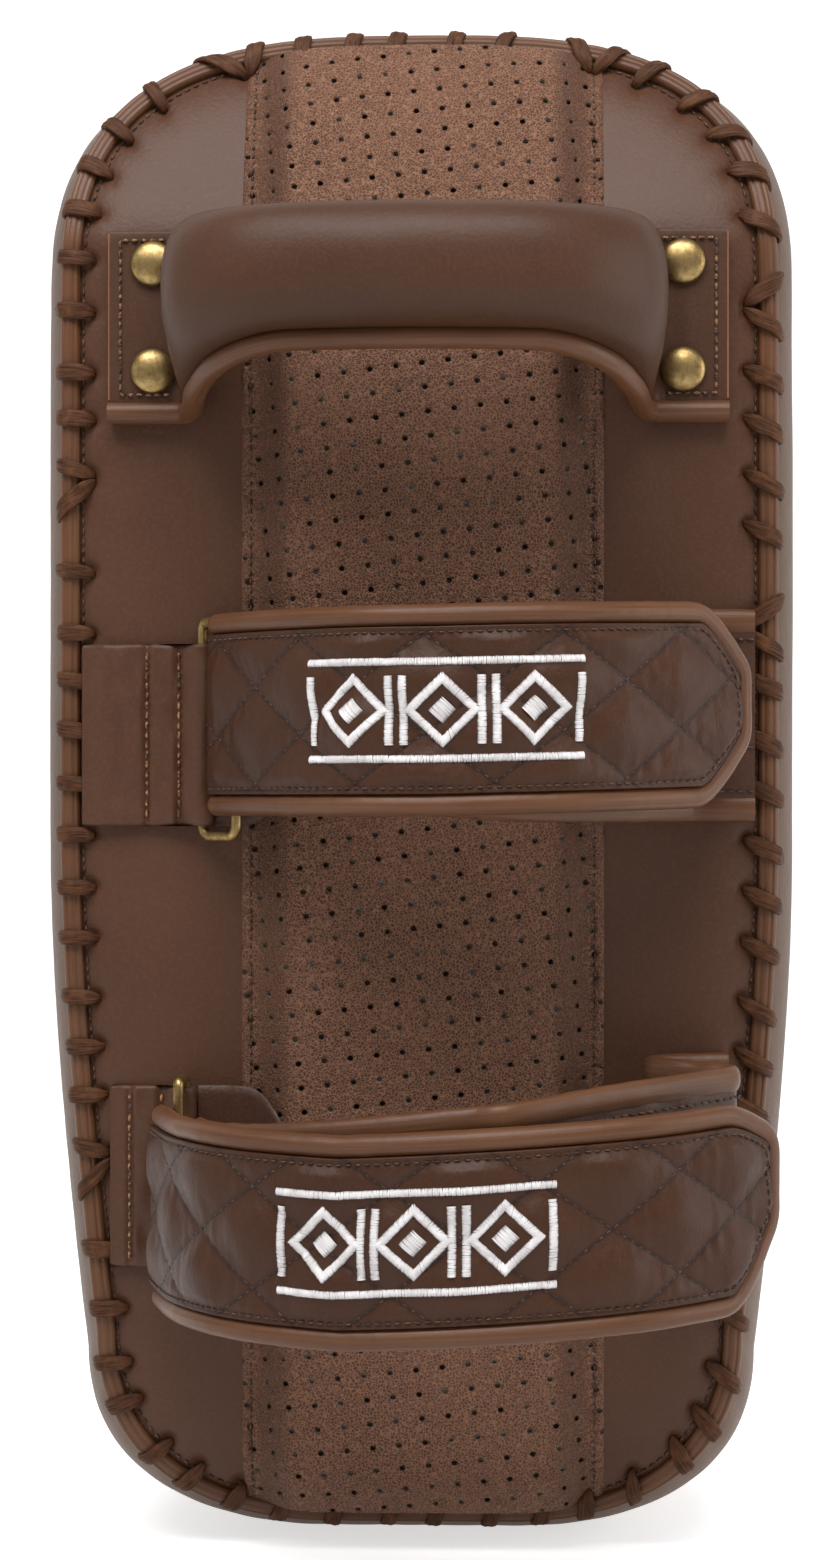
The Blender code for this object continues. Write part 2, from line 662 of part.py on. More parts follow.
def make_rivets():
    """Domed rivets through the tabs and the panels, each on a washer inside."""
    length = RIVET_SEAT - RIVET_FOOT
    cap = [(0.0, 0.0030), (0.0030, 0.0025), (0.0049, 0.0014), (RIVET_CAP_RADIUS, 0.0002)]
    post = [(RIVET_CAP_RADIUS - 0.0004, 0.0), (RIVET_POST_RADIUS, 0.0),
            (RIVET_POST_RADIUS, -length), (0.0, -length)]
    thick = WASHER_STANDOFFS[1] - WASHER_STANDOFFS[0]
    washer = [(RIVET_HOLE_RADIUS, thick), (WASHER_RADIUS, thick), (WASHER_RADIUS, 0.0),
              (RIVET_HOLE_RADIUS, 0.0), (RIVET_HOLE_RADIUS, thick)]
    for number, (x, z) in enumerate(rivet_places(), start=1):
        rivet = turned(f"handle_rivet_{number}", cap + post, 12, BRASS, 0.9)
        disc = turned(f"handle_washer_{number}", washer, 10, STEEL, 0.9)
        for piece, standoff in ((rivet, RIVET_SEAT), (disc, WASHER_STANDOFFS[0])):
            piece.location = world((x, standoff), z)
            piece.rotation_euler = (math.pi / 2, 0.0, 0.0)


# ---------------------------------------------------------------- forearm straps

def seam_end_x(lower_edge):
    """Where a strap with this lower edge starts, just inside the edge lacing."""
    return SEAM.half_width(lower_edge) - LACE_CLEARANCE


def make_anchor(name, strap):
    """The band sewn to the left, with an eye round the ring's inner bar, and the tongue under the ring."""
    eye_x = strap["eye_x"]
    eye_h = EYE_RADIUS + GAP
    arc = [math.radians(angle) for angle in range(-90, 121, 30)]
    outer_x = -seam_end_x(strap["band_z"] - BAND_HALF_HEIGHT)
    outline = [(outer_x, GAP)]
    outline += [(eye_x + EYE_RADIUS * math.cos(a), eye_h + EYE_RADIUS * math.sin(a)) for a in arc]
    outline += [(eye_x - 0.0065, GAP + BAND_THICKNESS), (outer_x, GAP + BAND_THICKNESS)]
    hole = [math.radians(30.0 * step) for step in range(12)]
    eye = [(eye_x + EYE_HOLE_RADIUS * math.cos(a), eye_h + EYE_HOLE_RADIUS * math.sin(a)) for a in hole]
    curve = bpy.data.curves.new(name + "_anchor_band", "CURVE")
    curve.dimensions = "2D"
    curve.fill_mode = "BOTH"
    curve.extrude = BAND_HALF_HEIGHT
    for corners in (outline, eye):
        spline = curve.splines.new("POLY")
        spline.points.add(len(corners) - 1)
        for target, (x, standoff) in zip(spline.points, corners):
            target.co = (x, -PAD_DEPTH / 2 - standoff, 0.0, 1.0)
        spline.use_cyclic_u = True
    band = add_part(name + "_anchor_band", curve, DARK_LEATHER)
    band.location = (0.0, 0.0, strap["band_z"])

    start = eye_x + EYE_RADIUS + GAP
    foot, top = -CENTER_HALF_WIDTH - 0.001, -CENTER_RAISED_HALF_WIDTH - 0.001
    line = [(start, GAP), (foot, GAP), (top, GAP + CENTER_RAISE), (GUARD_END_X, GAP + CENTER_RAISE)]
    frames = [(point, (0.0, 1.0)) for point in line]
    limits = (strap["band_z"] - BAND_HALF_HEIGHT, strap["band_z"] + BAND_HALF_HEIGHT)
    guard = ribbon(name + "_ring_guard", frames, 0.0, GUARD_THICKNESS, lambda row: limits, 1)
    add_part(name + "_ring_guard", guard, DARK_LEATHER)


def ring_bar(strap):
    """(x, standoff) of the ring's outer bar."""
    angle = math.radians(strap["ring_angle"])
    inner = (strap["eye_x"], EYE_RADIUS + GAP)
    return inner[0] + RING_WIDTH * math.cos(angle), inner[1] + RING_WIDTH * math.sin(angle)


def make_ring(name, strap):
    """A rectangular wire ring, its inner bar in the band's eye and its outer bar in the flap's fold."""
    angle = math.radians(strap["ring_angle"])
    corners = ((1, 1, 0), (0, 1, 90), (0, 0, 180), (1, 0, 270))
    points = []
    for far, high, start in corners:
        across = RING_WIDTH - RING_CORNER if far else RING_CORNER
        up = (RING_HALF_HEIGHT - RING_CORNER) * (1 if high else -1)
        for step in range(3):
            turn = math.radians(start + 45.0 * step)
            reach = across + RING_CORNER * math.cos(turn)
            z = strap["ring_z"] + up + RING_CORNER * math.sin(turn)
            x = strap["eye_x"] + reach * math.cos(angle)
            standoff = EYE_RADIUS + GAP + reach * math.sin(angle)
            points.append(world((x, standoff), z))
    ring = add_part(name + "_ring", tube(name + "_ring", points, RING_WIRE_RADIUS, 1, True), BRASS, 0.35, 0.9)
    origin = world((strap["eye_x"], EYE_RADIUS + GAP), strap["ring_z"])
    for point in ring.data.splines[0].points:
        point.co = (*[value - start for value, start in zip(point.co[:3], origin)], 1.0)
    ring.location = origin


def flap_route(strap):
    """The flap's middle line: half a turn round the ring's outer bar, then the arch to the tip."""
    bar = ring_bar(strap)
    rise = strap["rise_angle"]
    turn = [math.radians(rise - 90.0 - 30.0 * step) for step in range(7)]
    wrap = [(bar[0] + FLAP_WRAP_RADIUS * math.cos(a), bar[1] + FLAP_WRAP_RADIUS * math.sin(a)) for a in turn]
    return Route(wrap + strap["arch"])


def flap_distances(route):
    """Distances along the flap that every piece on it shares, close together round the bar."""
    wrap = math.pi * FLAP_WRAP_RADIUS
    tip = [route.length - back for back in (TIP_LENGTH, 0.008, 0.004, 0.0)]
    arch = [wrap + (tip[0] - wrap) * step / FLAP_STEPS for step in range(FLAP_STEPS)]
    return [wrap * step / 6 for step in range(6)] + arch + tip


def tip_limits(route, distance, strap):
    """Lower and upper edge of the flap at a distance, with its two corners cut off at the tip."""
    middle = along(strap["flap_z"], distance / route.length)
    near = between(distance, route.length - TIP_LENGTH, route.length) ** TIP_POWER
    upper_cut, lower_cut = strap["chamfers"]
    return middle - FLAP_HALF_HEIGHT + lower_cut * near, middle + FLAP_HALF_HEIGHT - upper_cut * near


def make_flap(name, strap):
    """The padded flap with its lining, piping and hook patch."""
    route = flap_route(strap)
    distances = flap_distances(route)
    frames = [route.frame(distance) for distance in distances]
    limits = [tip_limits(route, distance, strap) for distance in distances]
    half = FLAP_THICKNESS / 2
    add_part(name + "_flap", ribbon(name + "_flap", frames, -half, half, limits.__getitem__), DARK_LEATHER)

    clear = math.pi * FLAP_WRAP_RADIUS + LINING_START
    first = next(index for index, distance in enumerate(distances) if distance > clear)
    lining = ribbon(name + "_flap_lining", frames[first:], -half - GAP - SHEET, -half - GAP,
                    limits[first:].__getitem__, 1)
    add_part(name + "_flap_lining", lining, DARK_LEATHER)

    hook_top = -half - 2 * GAP - SHEET
    low, high = [share * route.length for share in strap["fastener"]]
    rows = [index for index, distance in enumerate(distances) if low <= distance <= high]
    narrow = [(limits[index][0] + FASTENER_MARGIN, limits[index][1] - FASTENER_MARGIN) for index in rows]
    hook = ribbon(name + "_hook_patch", [frames[index] for index in rows], hook_top - SHEET, hook_top,
                  narrow.__getitem__, 1)
    add_part(name + "_hook_patch", hook, FASTENER_BROWN)
    loop_top = hook_top - SHEET - GAP
    loop = ribbon(name + "_loop_patch", [frames[index] for index in rows], loop_top - SHEET, loop_top,
                  narrow.__getitem__, 1)
    add_part(name + "_loop_patch", loop, FASTENER_BROWN)
    make_flap_piping(name, route, distances[first - 1:], strap)
    make_base_strap(name, strap, route, distances, loop_top - SHEET - GAP - BASE_THICKNESS / 2)


def make_flap_piping(name, route, distances, strap):
    """Piping along the flap's upper edge, round its tip and back along its lower edge."""
    limits = [tip_limits(route, distance, strap) for distance in distances]
    upper = [(distance, high) for distance, (_, high) in zip(distances, limits)]
    lower = [(distance, low) for distance, (low, _) in zip(distances, limits)]
    edge = upper + lower[::-1]
    away = FLAP_PIPING_RADIUS + 0.0005
    inner = -(GAP + SHEET) / 2
    end, normal = route.frame(route.length, inner)
    points = []
    for index, here in enumerate(edge):
        normals = []
        for first, last in ((edge[max(index - 1, 0)], here), (here, edge[min(index + 1, len(edge) - 1)])):
            run = math.dist(first, last)
            if run > 0.0:
                normals.append(((first[1] - last[1]) / run, (last[0] - first[0]) / run))
        total = [sum(values) for values in zip(*normals)]
        scale = away * len(normals) / (total[0] ** 2 + total[1] ** 2)
        distance, z = here[0] + total[0] * scale, here[1] + total[1] * scale
        beyond = max(distance - route.length, 0.0)
        point = route.frame(distance, inner)[0]
        if beyond:
            point = (end[0] + normal[1] * beyond, end[1] - normal[0] * beyond)
        points.append(world(point, z))
    piping = tube(name + "_flap_piping", points, FLAP_PIPING_RADIUS, 1, False)
    add_part(name + "_flap_piping", piping, LIGHT_LEATHER)


def make_base_strap(name, strap, route, distances, offset):
    """The strap from the ring's side over the forearm to the right seam, with its bound edges."""
    last = strap["base_length"] * route.length
    first = math.pi * FLAP_WRAP_RADIUS + BASE_START
    arch = [route.frame(distance, offset) for distance in distances if first < distance < last]
    end_x = seam_end_x(strap["seam_z"] - BASE_HALF_HEIGHTS[1] - 2 * BASE_BINDING_RADIUS)
    turn = Route([arch[-2][0], arch[-1][0]] + strap["turn"] + [(end_x, BASE_SEAM_STANDOFF)])
    joint = math.dist(arch[-2][0], arch[-1][0])
    steps = 5 * len(strap["turn"]) // 2
    extra = [turn.frame(joint + (turn.length - joint) * step / steps) for step in range(1, steps + 1)]
    frames = arch + extra
    shares = [index / (len(frames) - 1) for index in range(len(frames))]
    start_z = strap["flap_z"][0][1]

    def limits(row):
        middle = start_z + (strap["seam_z"] - start_z) * smooth_step(shares[row])
        widening = smooth_step(shares[row] * BASE_WIDENING)
        half = BASE_HALF_HEIGHTS[0] + (BASE_HALF_HEIGHTS[1] - BASE_HALF_HEIGHTS[0]) * widening
        return middle - half, middle + half

    half = BASE_THICKNESS / 2
    add_part(name + "_base_strap", ribbon(name + "_base_strap", frames, -half, half, limits), DARK_LEATHER)
    away = BASE_BINDING_RADIUS + GAP
    for label, edge, sign in (("bottom", 0, -1), ("top", 1, 1)):
        points = []
        for row, (point, _) in enumerate(frames):
            points.append(world(point, limits(row)[edge] + sign * away))
        title = f"{name}_base_binding_{label}"
        add_part(title, tube(title, points, BASE_BINDING_RADIUS, 0, False), LIGHT_LEATHER)


# ---------------------------------------------------------------- build

rivet_holes = cutter("rivet_hole_cutter", RIVET_HOLE_RADIUS, (-0.0045, 0.0070))
washer_pockets = cutter("washer_pocket_cutter", WASHER_POCKET_RADIUS, POCKET_STANDOFFS)

make_cover_and_wall()
make_panels()
make_foam()
make_edge_seam()
make_handle()
make_rivets()
for strap_name, strap_sizes in STRAPS.items():
    make_anchor(strap_name, strap_sizes)
    make_ring(strap_name, strap_sizes)
    make_flap(strap_name, strap_sizes)

for panel_name in ("back_panel_left", "back_panel_right"):
    cut(bpy.data.objects[panel_name], rivet_holes)
cut(bpy.data.objects["foam_back_firm"], washer_pockets)
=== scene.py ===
"""Thai pad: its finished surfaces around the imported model, in metres, in the model's own frame.

+Z runs up along the pad and X across it, and the arm side faces -Y.  A standoff is a distance off the
arm side, along -Y.  A route is a line of (x, standoff) points, as seen from above.
"""
import math

import bmesh
import bpy
import numpy as np
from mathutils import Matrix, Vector

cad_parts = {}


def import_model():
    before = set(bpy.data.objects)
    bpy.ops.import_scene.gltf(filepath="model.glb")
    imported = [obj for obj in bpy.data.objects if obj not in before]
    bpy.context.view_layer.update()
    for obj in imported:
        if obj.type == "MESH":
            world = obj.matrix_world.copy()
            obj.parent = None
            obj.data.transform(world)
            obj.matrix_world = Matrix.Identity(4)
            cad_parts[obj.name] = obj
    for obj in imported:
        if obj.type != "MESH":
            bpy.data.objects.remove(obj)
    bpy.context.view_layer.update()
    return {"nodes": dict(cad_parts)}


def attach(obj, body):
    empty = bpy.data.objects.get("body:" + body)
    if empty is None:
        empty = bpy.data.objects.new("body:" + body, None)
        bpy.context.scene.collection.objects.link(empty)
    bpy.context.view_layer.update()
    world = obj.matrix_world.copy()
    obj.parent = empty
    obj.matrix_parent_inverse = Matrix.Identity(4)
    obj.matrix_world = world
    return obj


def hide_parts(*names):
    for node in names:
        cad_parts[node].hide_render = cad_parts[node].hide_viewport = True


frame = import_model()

# Pad body
PAD_HEIGHT = 0.397
PAD_HALF_WIDTH = 0.098
PAD_DEPTH = 0.090
LOWER_CORNER, UPPER_CORNER = 0.050, 0.322
LOWER_CORNER_POWER, UPPER_CORNER_POWER = 2.2, 3.0
LOWER_FLAT = 0.024
TAPER, TAPER_START, TAPER_POWER = 0.010, 0.180, 1.6
UPPER_BEND_START, UPPER_BEND_SLOPE, UPPER_BEND_EASE = 0.338, 0.466, 0.012
LOWER_BEND_START, LOWER_BEND = 0.034, 13.8
STRIKE_SWEEP = 0.016
OUTLINE_POINTS = 1080

# Edge seam
SEAM_INSETS = (0.0075, 0.0075, 0.0025)  # sides, lower end, upper end
SEAM_DEPTH = 0.003
BINDING_HALF_WIDTH, BINDING_HALF_DEPTH = 0.00255, 0.0019
LACE_TURNS = 76
LACE_WIDTH, LACE_THICKNESS = 0.0043, 0.0016
LACE_HOLE_INSET = 0.0060
EDGE_FALL, EDGE_REACH, EDGE_POWER = 0.0046, 0.0060, 1.3

# Centre panel
PANEL_SHIFT = 0.0012
PANEL_HALF_WIDTH = 0.0468
RAISE, RAISE_TOP, RAISE_FOOT = 0.0062, 0.0340, 0.0432
PANEL_PROUD = 0.0013
PANEL_INSETS = (0.0090, 0.0090, 0.0040)  # sides, lower end, upper end
PANEL_TAPER = 0.05
COVER_THICKNESS = 0.0015
HOLE_RADIUS, HOLE_SIDES = 0.00070, 16
LATTICE = np.array([[0.00670, 0.00078], [0.00078, -0.00620]])
LATTICE_ORIGIN = np.array([-0.0264, 0.0466])

# Handle
TAB_OUTER_X, TAB_Z, GRIP_Z = 0.0794, (0.2962, 0.3410), (0.3095, 0.3406)
TAB_LENGTH, GRIP_START, EDGE_START = 0.0180, 0.0560, 0.0780
TAB_HALF_THICKNESS, GRIP_HALF_THICKNESS = 0.0019, 0.0120
HANDLE_PIPING_RADIUS = 0.0029
RIVET_X, RIVET_Z, RIVET_RADIUS = 0.0682, (0.3047, 0.3324), 0.00585
HANDLE_HALF = [(-TAB_OUTER_X, 0.0028), (-0.0700, 0.0028), (-0.0615, 0.0028), (-0.0580, 0.0075),
               (-0.0550, 0.0230), (-0.0470, 0.0380), (-0.0300, 0.0475), (0.0, 0.0510)]

# Straps
GAP = 0.0003
EYE_RADIUS, BAND_HALF_HEIGHT = 0.0030, 0.0235
BAND_SEWN = (0.0062, 0.0145)  # the two rows of stitches, back from the eye
RING_WIRE_RADIUS, RING_HALF_HEIGHT, RING_WIDTH, RING_CORNER = 0.0014, 0.0281, 0.0125, 0.003
FLAP_THICKNESS, FLAP_HALF_HEIGHT, FLAP_WRAP_RADIUS = 0.0055, 0.0205, 0.00445
FLAP_PIPING_RADIUS, TIP_LENGTH, TIP_POWER = 0.0028, 0.0140, 1.3
SHEET = 0.0010
BASE_THICKNESS, BASE_HALF_HEIGHTS = 0.0030, (0.0190, 0.0235)
BINDING_TALL, BINDING_FLAT = 0.0034, 0.0022
GUARD_END_X, GUARD_CORNER = -0.0310, 0.017

# Camera
FOCAL_LENGTH, CAMERA_X, CAMERA_Z, CAMERA_AWAY = 80.4, 0.0314, 0.1994, 0.8995

STRAPS = {
    "upper": {
        "band_z": 0.2110, "ring_z": 0.2130, "eye_x": -0.0555, "ring_angle": 41.0,
        "rise_angle": 62.0, "flap_z": [(0.0, 0.2160), (0.5, 0.2163), (1.0, 0.2185)],
        "arch": [(-0.0350, 0.0320), (-0.0130, 0.0500), (0.0120, 0.0550), (0.0400, 0.0490),
                 (0.0640, 0.0340), (0.0805, 0.0192)],
        "chamfers": (0.013, 0.013), "base_length": 0.72,
        "turn": [(0.0640, 0.0085), (0.0700, 0.0030), (0.0770, 0.0024)],
        "seam_z": 0.2160, "fastener": (0.50, 0.70),
        "quilt": (0.0336, 0.0242), "quilt_node": (0.0516, 0.0065), "badge_x": (-0.0230, 0.0410),
        "piping_start": 0.36,
    },
    "lower": {
        "band_z": 0.0970, "ring_z": 0.0955, "eye_x": -0.0600, "ring_angle": 92.0,
        "rise_angle": 78.0, "flap_z": [(0.0, 0.0915), (0.45, 0.0890), (1.0, 0.0960)],
        "arch": [(-0.0560, 0.0420), (-0.0380, 0.0620), (-0.0080, 0.0735), (0.0250, 0.0755),
                 (0.0540, 0.0690), (0.0745, 0.0560), (0.0860, 0.0440)],
        "chamfers": (0.006, 0.017), "base_length": 0.80,
        "turn": [(0.0765, 0.0290), (0.0745, 0.0200), (0.0660, 0.0150), (0.0600, 0.0105),
                 (0.0615, 0.0052), (0.0690, 0.0028)],
        "seam_z": 0.1020, "fastener": (0.52, 0.76),
        "quilt": (0.0348, 0.0246), "quilt_node": (0.0480, 0.0), "badge_x": (-0.0300, 0.0350),
        "piping_start": 0.80,
    },
}


# ---------------------------------------------------------------- arrays

def smooth(value, low=0.0, high=1.0):
    """3 t squared less 2 t cubed, where t is how far a value lies from low to high."""
    t = np.clip((np.asarray(value, float) - low) / (high - low), 0.0, 1.0)
    return t * t * (3.0 - 2.0 * t)


def bell(distance, width):
    """e to the minus square of distance over width."""
    return np.exp(-(np.asarray(distance, float) / width) ** 2)


def unit(vectors):
    """Vectors scaled to length one."""
    return vectors / np.maximum(np.linalg.norm(vectors, axis=-1, keepdims=True), 1e-12)


def run_of(points):
    """Distance along a polyline at each of its points."""
    return np.concatenate([[0.0], np.cumsum(np.linalg.norm(np.diff(points, axis=0), axis=1))])


def read(points, run, distances, period=None):
    """The polyline's points at distances along it."""
    return np.stack([np.interp(distances, run, axis, period=period) for axis in points.T], -1)


def tangents(path, closed=False):
    """Unit directions along a line of points."""
    if closed:
        return unit(np.roll(path, -1, 0) - np.roll(path, 1, 0))
    return unit(np.gradient(path, axis=0))


def curve_through(points, steps, closed=False):
    """A Catmull-Rom curve through the points, with a number of steps from each to the next."""
    points = np.asarray(points, float)
    if closed:
        padded = np.concatenate([points[-1:], points, points[:2]])
    else:
        padded = np.concatenate([points[:1], points, points[-1:]])
    a, b, c, d = (padded[k:len(padded) - 3 + k, None, :] for k in range(4))
    t = (np.arange(steps) / steps)[None, :, None]
    squared, cubed = 2 * a - 5 * b + 4 * c - d, 3 * b - a - 3 * c + d
    curve = 0.5 * (2 * b + (c - a) * t + squared * t ** 2 + cubed * t ** 3)
    curve = curve.reshape(-1, points.shape[1])
    return curve if closed else np.concatenate([curve, points[-1:]])


def blur(values, passes):
    """Each value between the ends set to half itself and a quarter of each neighbour, several times."""
    values = np.array(values, float)
    for _ in range(passes):
        values[1:-1] = 0.25 * values[:-2] + 0.5 * values[1:-1] + 0.25 * values[2:]
    return values


def ripple(points, wavelength, seed):
    """Smooth noise of about -1 to 1: a sum of sine waves that run in seeded directions."""
    rng = np.random.default_rng(seed)
    size = rng.uniform(0.6, 1.5, (9, 1)) * 2.0 * np.pi / wavelength
    waves = unit(rng.normal(size=(9, points.shape[-1]))) * size
    return np.sin(points @ waves.T + rng.uniform(0.0, 2.0 * np.pi, 9)).sum(-1) / 4.0


# ---------------------------------------------------------------- meshes

def new_object(name, mesh, material):
    """Link a mesh under a name, smooth shaded, in one material."""
    mesh.materials.append(material)
    mesh.shade_smooth()
    piece = bpy.data.objects.new(name, mesh)
    bpy.context.scene.collection.objects.link(piece)
    return piece


def build_mesh(name, points, faces, uv=None, turn_out=True, weld=1e-6, toward=None, sharp=None, field=None):
    """A mesh from points, faces of one size after another, a UV pair for each face corner and a field, kept
    as the seam point attribute, which carries painted shade along quilting lines.
    """
    mesh = bpy.data.meshes.new(name)
    mesh.from_pydata(points.tolist(), [], [face for block in faces for face in block.tolist()])
    if field is not None:
        values = np.zeros(len(points), np.float32)
        values[:field.size] = field.ravel()
        mesh.attributes.new("seam", "FLOAT", "POINT").data.foreach_set("value", values)
    if uv is not None:
        pairs = np.concatenate(uv).astype(np.float32).ravel()
        mesh.uv_layers.new(name="UVMap").data.foreach_set("uv", pairs)
    bm = bmesh.new()
    bm.from_mesh(mesh)
    if weld:
        bmesh.ops.remove_doubles(bm, verts=bm.verts, dist=weld)
        bmesh.ops.dissolve_degenerate(bm, edges=bm.edges, dist=1e-8)
    if turn_out:
        bmesh.ops.recalc_face_normals(bm, faces=bm.faces)
    if toward is not None:
        lean = sum((face.normal.dot(toward) * face.calc_area() for face in bm.faces), 0.0)
        if lean < 0.0:
            bmesh.ops.reverse_faces(bm, faces=bm.faces)
    bm.to_mesh(mesh)
    bm.free()
    if sharp is not None:
        mesh.shade_smooth()
        mesh.set_sharp_from_angle(angle=math.radians(sharp))
    return mesh


def grid(name, points, material, closed=(False, False), caps=False, toward=None, sharp=None, field=None):
    """A surface on a grid of points (rows, columns, 3); UV holds metres along rows and columns."""
    rows, columns = points.shape[:2]
    row = np.arange(rows - (not closed[0]))[:, None]
    column = np.arange(columns - (not closed[1]))[None, :]
    steps = ((0, 0), (0, 1), (1, 1), (1, 0))
    quads = [(row + a) % rows * columns + (column + b) % columns for a, b in steps]
    down = np.concatenate([points, points[:1]]) if closed[0] else points
    across = np.concatenate([points, points[:, :1]], 1) if closed[1] else points
    row_run = np.concatenate([[0.0], np.cumsum(np.linalg.norm(np.diff(down, axis=0), axis=2).mean(1))])
    column_run = np.concatenate([[0.0], np.cumsum(np.linalg.norm(np.diff(across, axis=1), axis=2).mean(0))])
    corner = [np.stack(np.broadcast_arrays(row_run[row + a], column_run[column + b]), -1) for a, b in steps]
    faces, uv = [np.stack(quads, -1).reshape(-1, 4)], [np.stack(corner, -2).reshape(-1, 2)]
    flat = points.reshape(-1, 3)
    if caps:
        middle = np.arange(columns)
        for end in (0, rows - 1):
            start, centre = end * columns, np.full(columns, len(flat))
            flat = np.concatenate([flat, points[end].mean(0)[None]])
            faces.append(np.stack([start + middle, start + (middle + 1) % columns, centre], -1))
            edge = np.stack([np.full(columns, row_run[end]), column_run[:columns]], -1)
            uv.append(np.repeat(edge, 3, 0))
    closed_form = caps or all(closed)
    mesh = build_mesh(name, flat, faces, uv, turn_out=closed_form, toward=toward, sharp=sharp, field=field)
    return new_object(name, mesh, material)


def sweep(path, normals, across, out, closed=False):
    """Carry a section along a path: each point is the path, plus across times the side, plus out times up.

    across and out hold one section, or one for each point of the path.
    """
    along = tangents(path, closed)
    side = unit(np.cross(along, normals))
    up = np.cross(side, along)
    across, out = np.atleast_2d(across), np.atleast_2d(out)
    return path[:, None] + side[:, None] * across[..., None] + up[:, None] * out[..., None]


def ring_section(count, half_width, half_height, power=2.0):
    """A superellipse: cosine and sine of an angle, each to the 2 / power."""
    angle = np.arange(count) / count * 2.0 * np.pi
    cosine, sine = np.cos(angle), np.sin(angle)
    across = half_width * np.sign(cosine) * np.abs(cosine) ** (2.0 / power)
    return across, half_height * np.sign(sine) * np.abs(sine) ** (2.0 / power)


def thread_mesh(name, paths, normals, radius, material):
    """Many short threads in one mesh: a thin five-sided tube along each path, drawn in at its ends."""
    sides = 5
    count, steps = paths.shape[:2]
    along = unit(np.gradient(paths, axis=1))
    side = unit(np.cross(along, normals))
    up = np.cross(side, along)
    angle = np.arange(sides) / sides * 2.0 * np.pi
    fade = np.sqrt(np.clip(1.0 - np.linspace(-0.93, 0.93, steps) ** 4, 0.0, 1.0))
    radii = np.broadcast_to(np.asarray(radius, float).reshape(-1, 1), (count, steps)) * fade
    cosine, sine = np.cos(angle)[None, None, :, None], np.sin(angle)[None, None, :, None]
    ring = side[:, :, None] * cosine + up[:, :, None] * sine
    points = paths[:, :, None] + ring * radii[:, :, None, None]
    start = (np.arange(count) * steps * sides)[:, None, None]
    step = np.arange(steps - 1)[None, :, None] * sides
    turn = np.arange(sides)[None, None, :]
    after = (turn + 1) % sides
    quads = np.stack(np.broadcast_arrays(start + step + turn, start + step + after,
                                         start + step + sides + after, start + step + sides + turn), -1)
    first = start[:, 0] + np.arange(sides)[None, ::-1]
    last = start[:, 0] + (steps - 1) * sides + np.arange(sides)[None, :]
    faces = [quads.reshape(-1, 4), first, last]
    mesh = build_mesh(name, points.reshape(-1, 3), faces, weld=0.0, turn_out=False)
    return new_object(name, mesh, material)


def stitch_paths(line, normals, pitch, share=0.72, height=0.0003):
    """Stitches laid end to end on a line: each rises by height at its middle and sinks at its ends."""
    sink, steps = 0.0002, 5
    line, normals = np.asarray(line, float), np.asarray(normals, float)
    run = run_of(line)
    count = max(int(round(run[-1] / pitch)), 1)
    step = run[-1] / count
    t = np.linspace(0.0, 1.0, steps)
    distances = (np.arange(count)[:, None] + 0.5 + (t[None] - 0.5) * share) * step
    lift = (height + sink) * np.sin(np.pi * t) - sink
    paths = read(line, run, distances.ravel()).reshape(count, steps, 3)
    up = unit(read(normals, run, distances.ravel()).reshape(count, steps, 3))
    return paths + up * lift[None, :, None], up


def stitches(name, rows, radius, material):
    """One mesh of all the stitches on several lines."""
    paths = np.concatenate([row[0] for row in rows])
    normals = np.concatenate([row[1] for row in rows])
    return thread_mesh(name, paths, normals, radius, material)


def place(piece, body, slot, *nodes):
    """Let a piece ride on its body and hide the nodes that it stands for; its slot is not used."""
    if nodes:
        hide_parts(*nodes)
    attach(piece, body)
    return piece


def thicken(piece, thickness):
    """Give an open sheet its thickness, inwards."""
    wall = piece.modifiers.new("thickness", "SOLIDIFY")
    wall.thickness = thickness
    wall.offset = -1.0
    return piece


# ---------------------------------------------------------------- materials

def add_node(tree, kind, inputs=(), **settings):
    """Add a node with settings, and set or link its inputs by name or number."""
    node = tree.nodes.new(kind)
    for key, value in settings.items():
        setattr(node, key, value)
    for key, value in dict(inputs).items():
        socket = node.inputs[key]
        if isinstance(value, bpy.types.NodeSocket):
            tree.links.new(value, socket)
        else:
            socket.default_value = value
    return node


def math_node(tree, operation, *values, clamp=False):
    """The result of a Math node."""
    node = add_node(tree, "ShaderNodeMath", enumerate(values), operation=operation, use_clamp=clamp)
    return node.outputs[0]


def mix_colour(tree, share, first, last):
    """The result of a Mix node on two colours, each a socket or red, green and blue."""
    first, last = ((*tone, 1.0) if isinstance(tone, tuple) else tone for tone in (first, last))
    return add_node(tree, "ShaderNodeMix", {0: share, 6: first, 7: last}, data_type="RGBA").outputs[2]


def spread(tree, value, low, high, to_low=0.0, to_high=1.0):
    """A value carried from one range to another, and held inside it."""
    node = add_node(tree, "ShaderNodeMapRange", {0: value, 1: low, 2: high, 3: to_low, 4: to_high})
    return node.outputs[0]


def noise(tree, vector, scale, detail, rough=0.5, distortion=0.0):
    """The grey output of a Noise texture."""
    inputs = {"Vector": vector, "Scale": scale, "Detail": detail, "Roughness": rough,
              "Distortion": distortion}
    return add_node(tree, "ShaderNodeTexNoise", inputs).outputs["Fac"]


def shaken(tree, vector, scale, reach):
    """A vector moved about by coloured noise."""
    cloud = add_node(tree, "ShaderNodeTexNoise", {"Vector": vector, "Scale": scale, "Detail": 2.0})
    inputs = {0: cloud.outputs["Color"], 1: (reach, reach, reach)}
    shift = add_node(tree, "ShaderNodeVectorMath", inputs, operation="MULTIPLY").outputs[0]
    return add_node(tree, "ShaderNodeVectorMath", {0: vector, 1: shift}, operation="ADD").outputs[0]


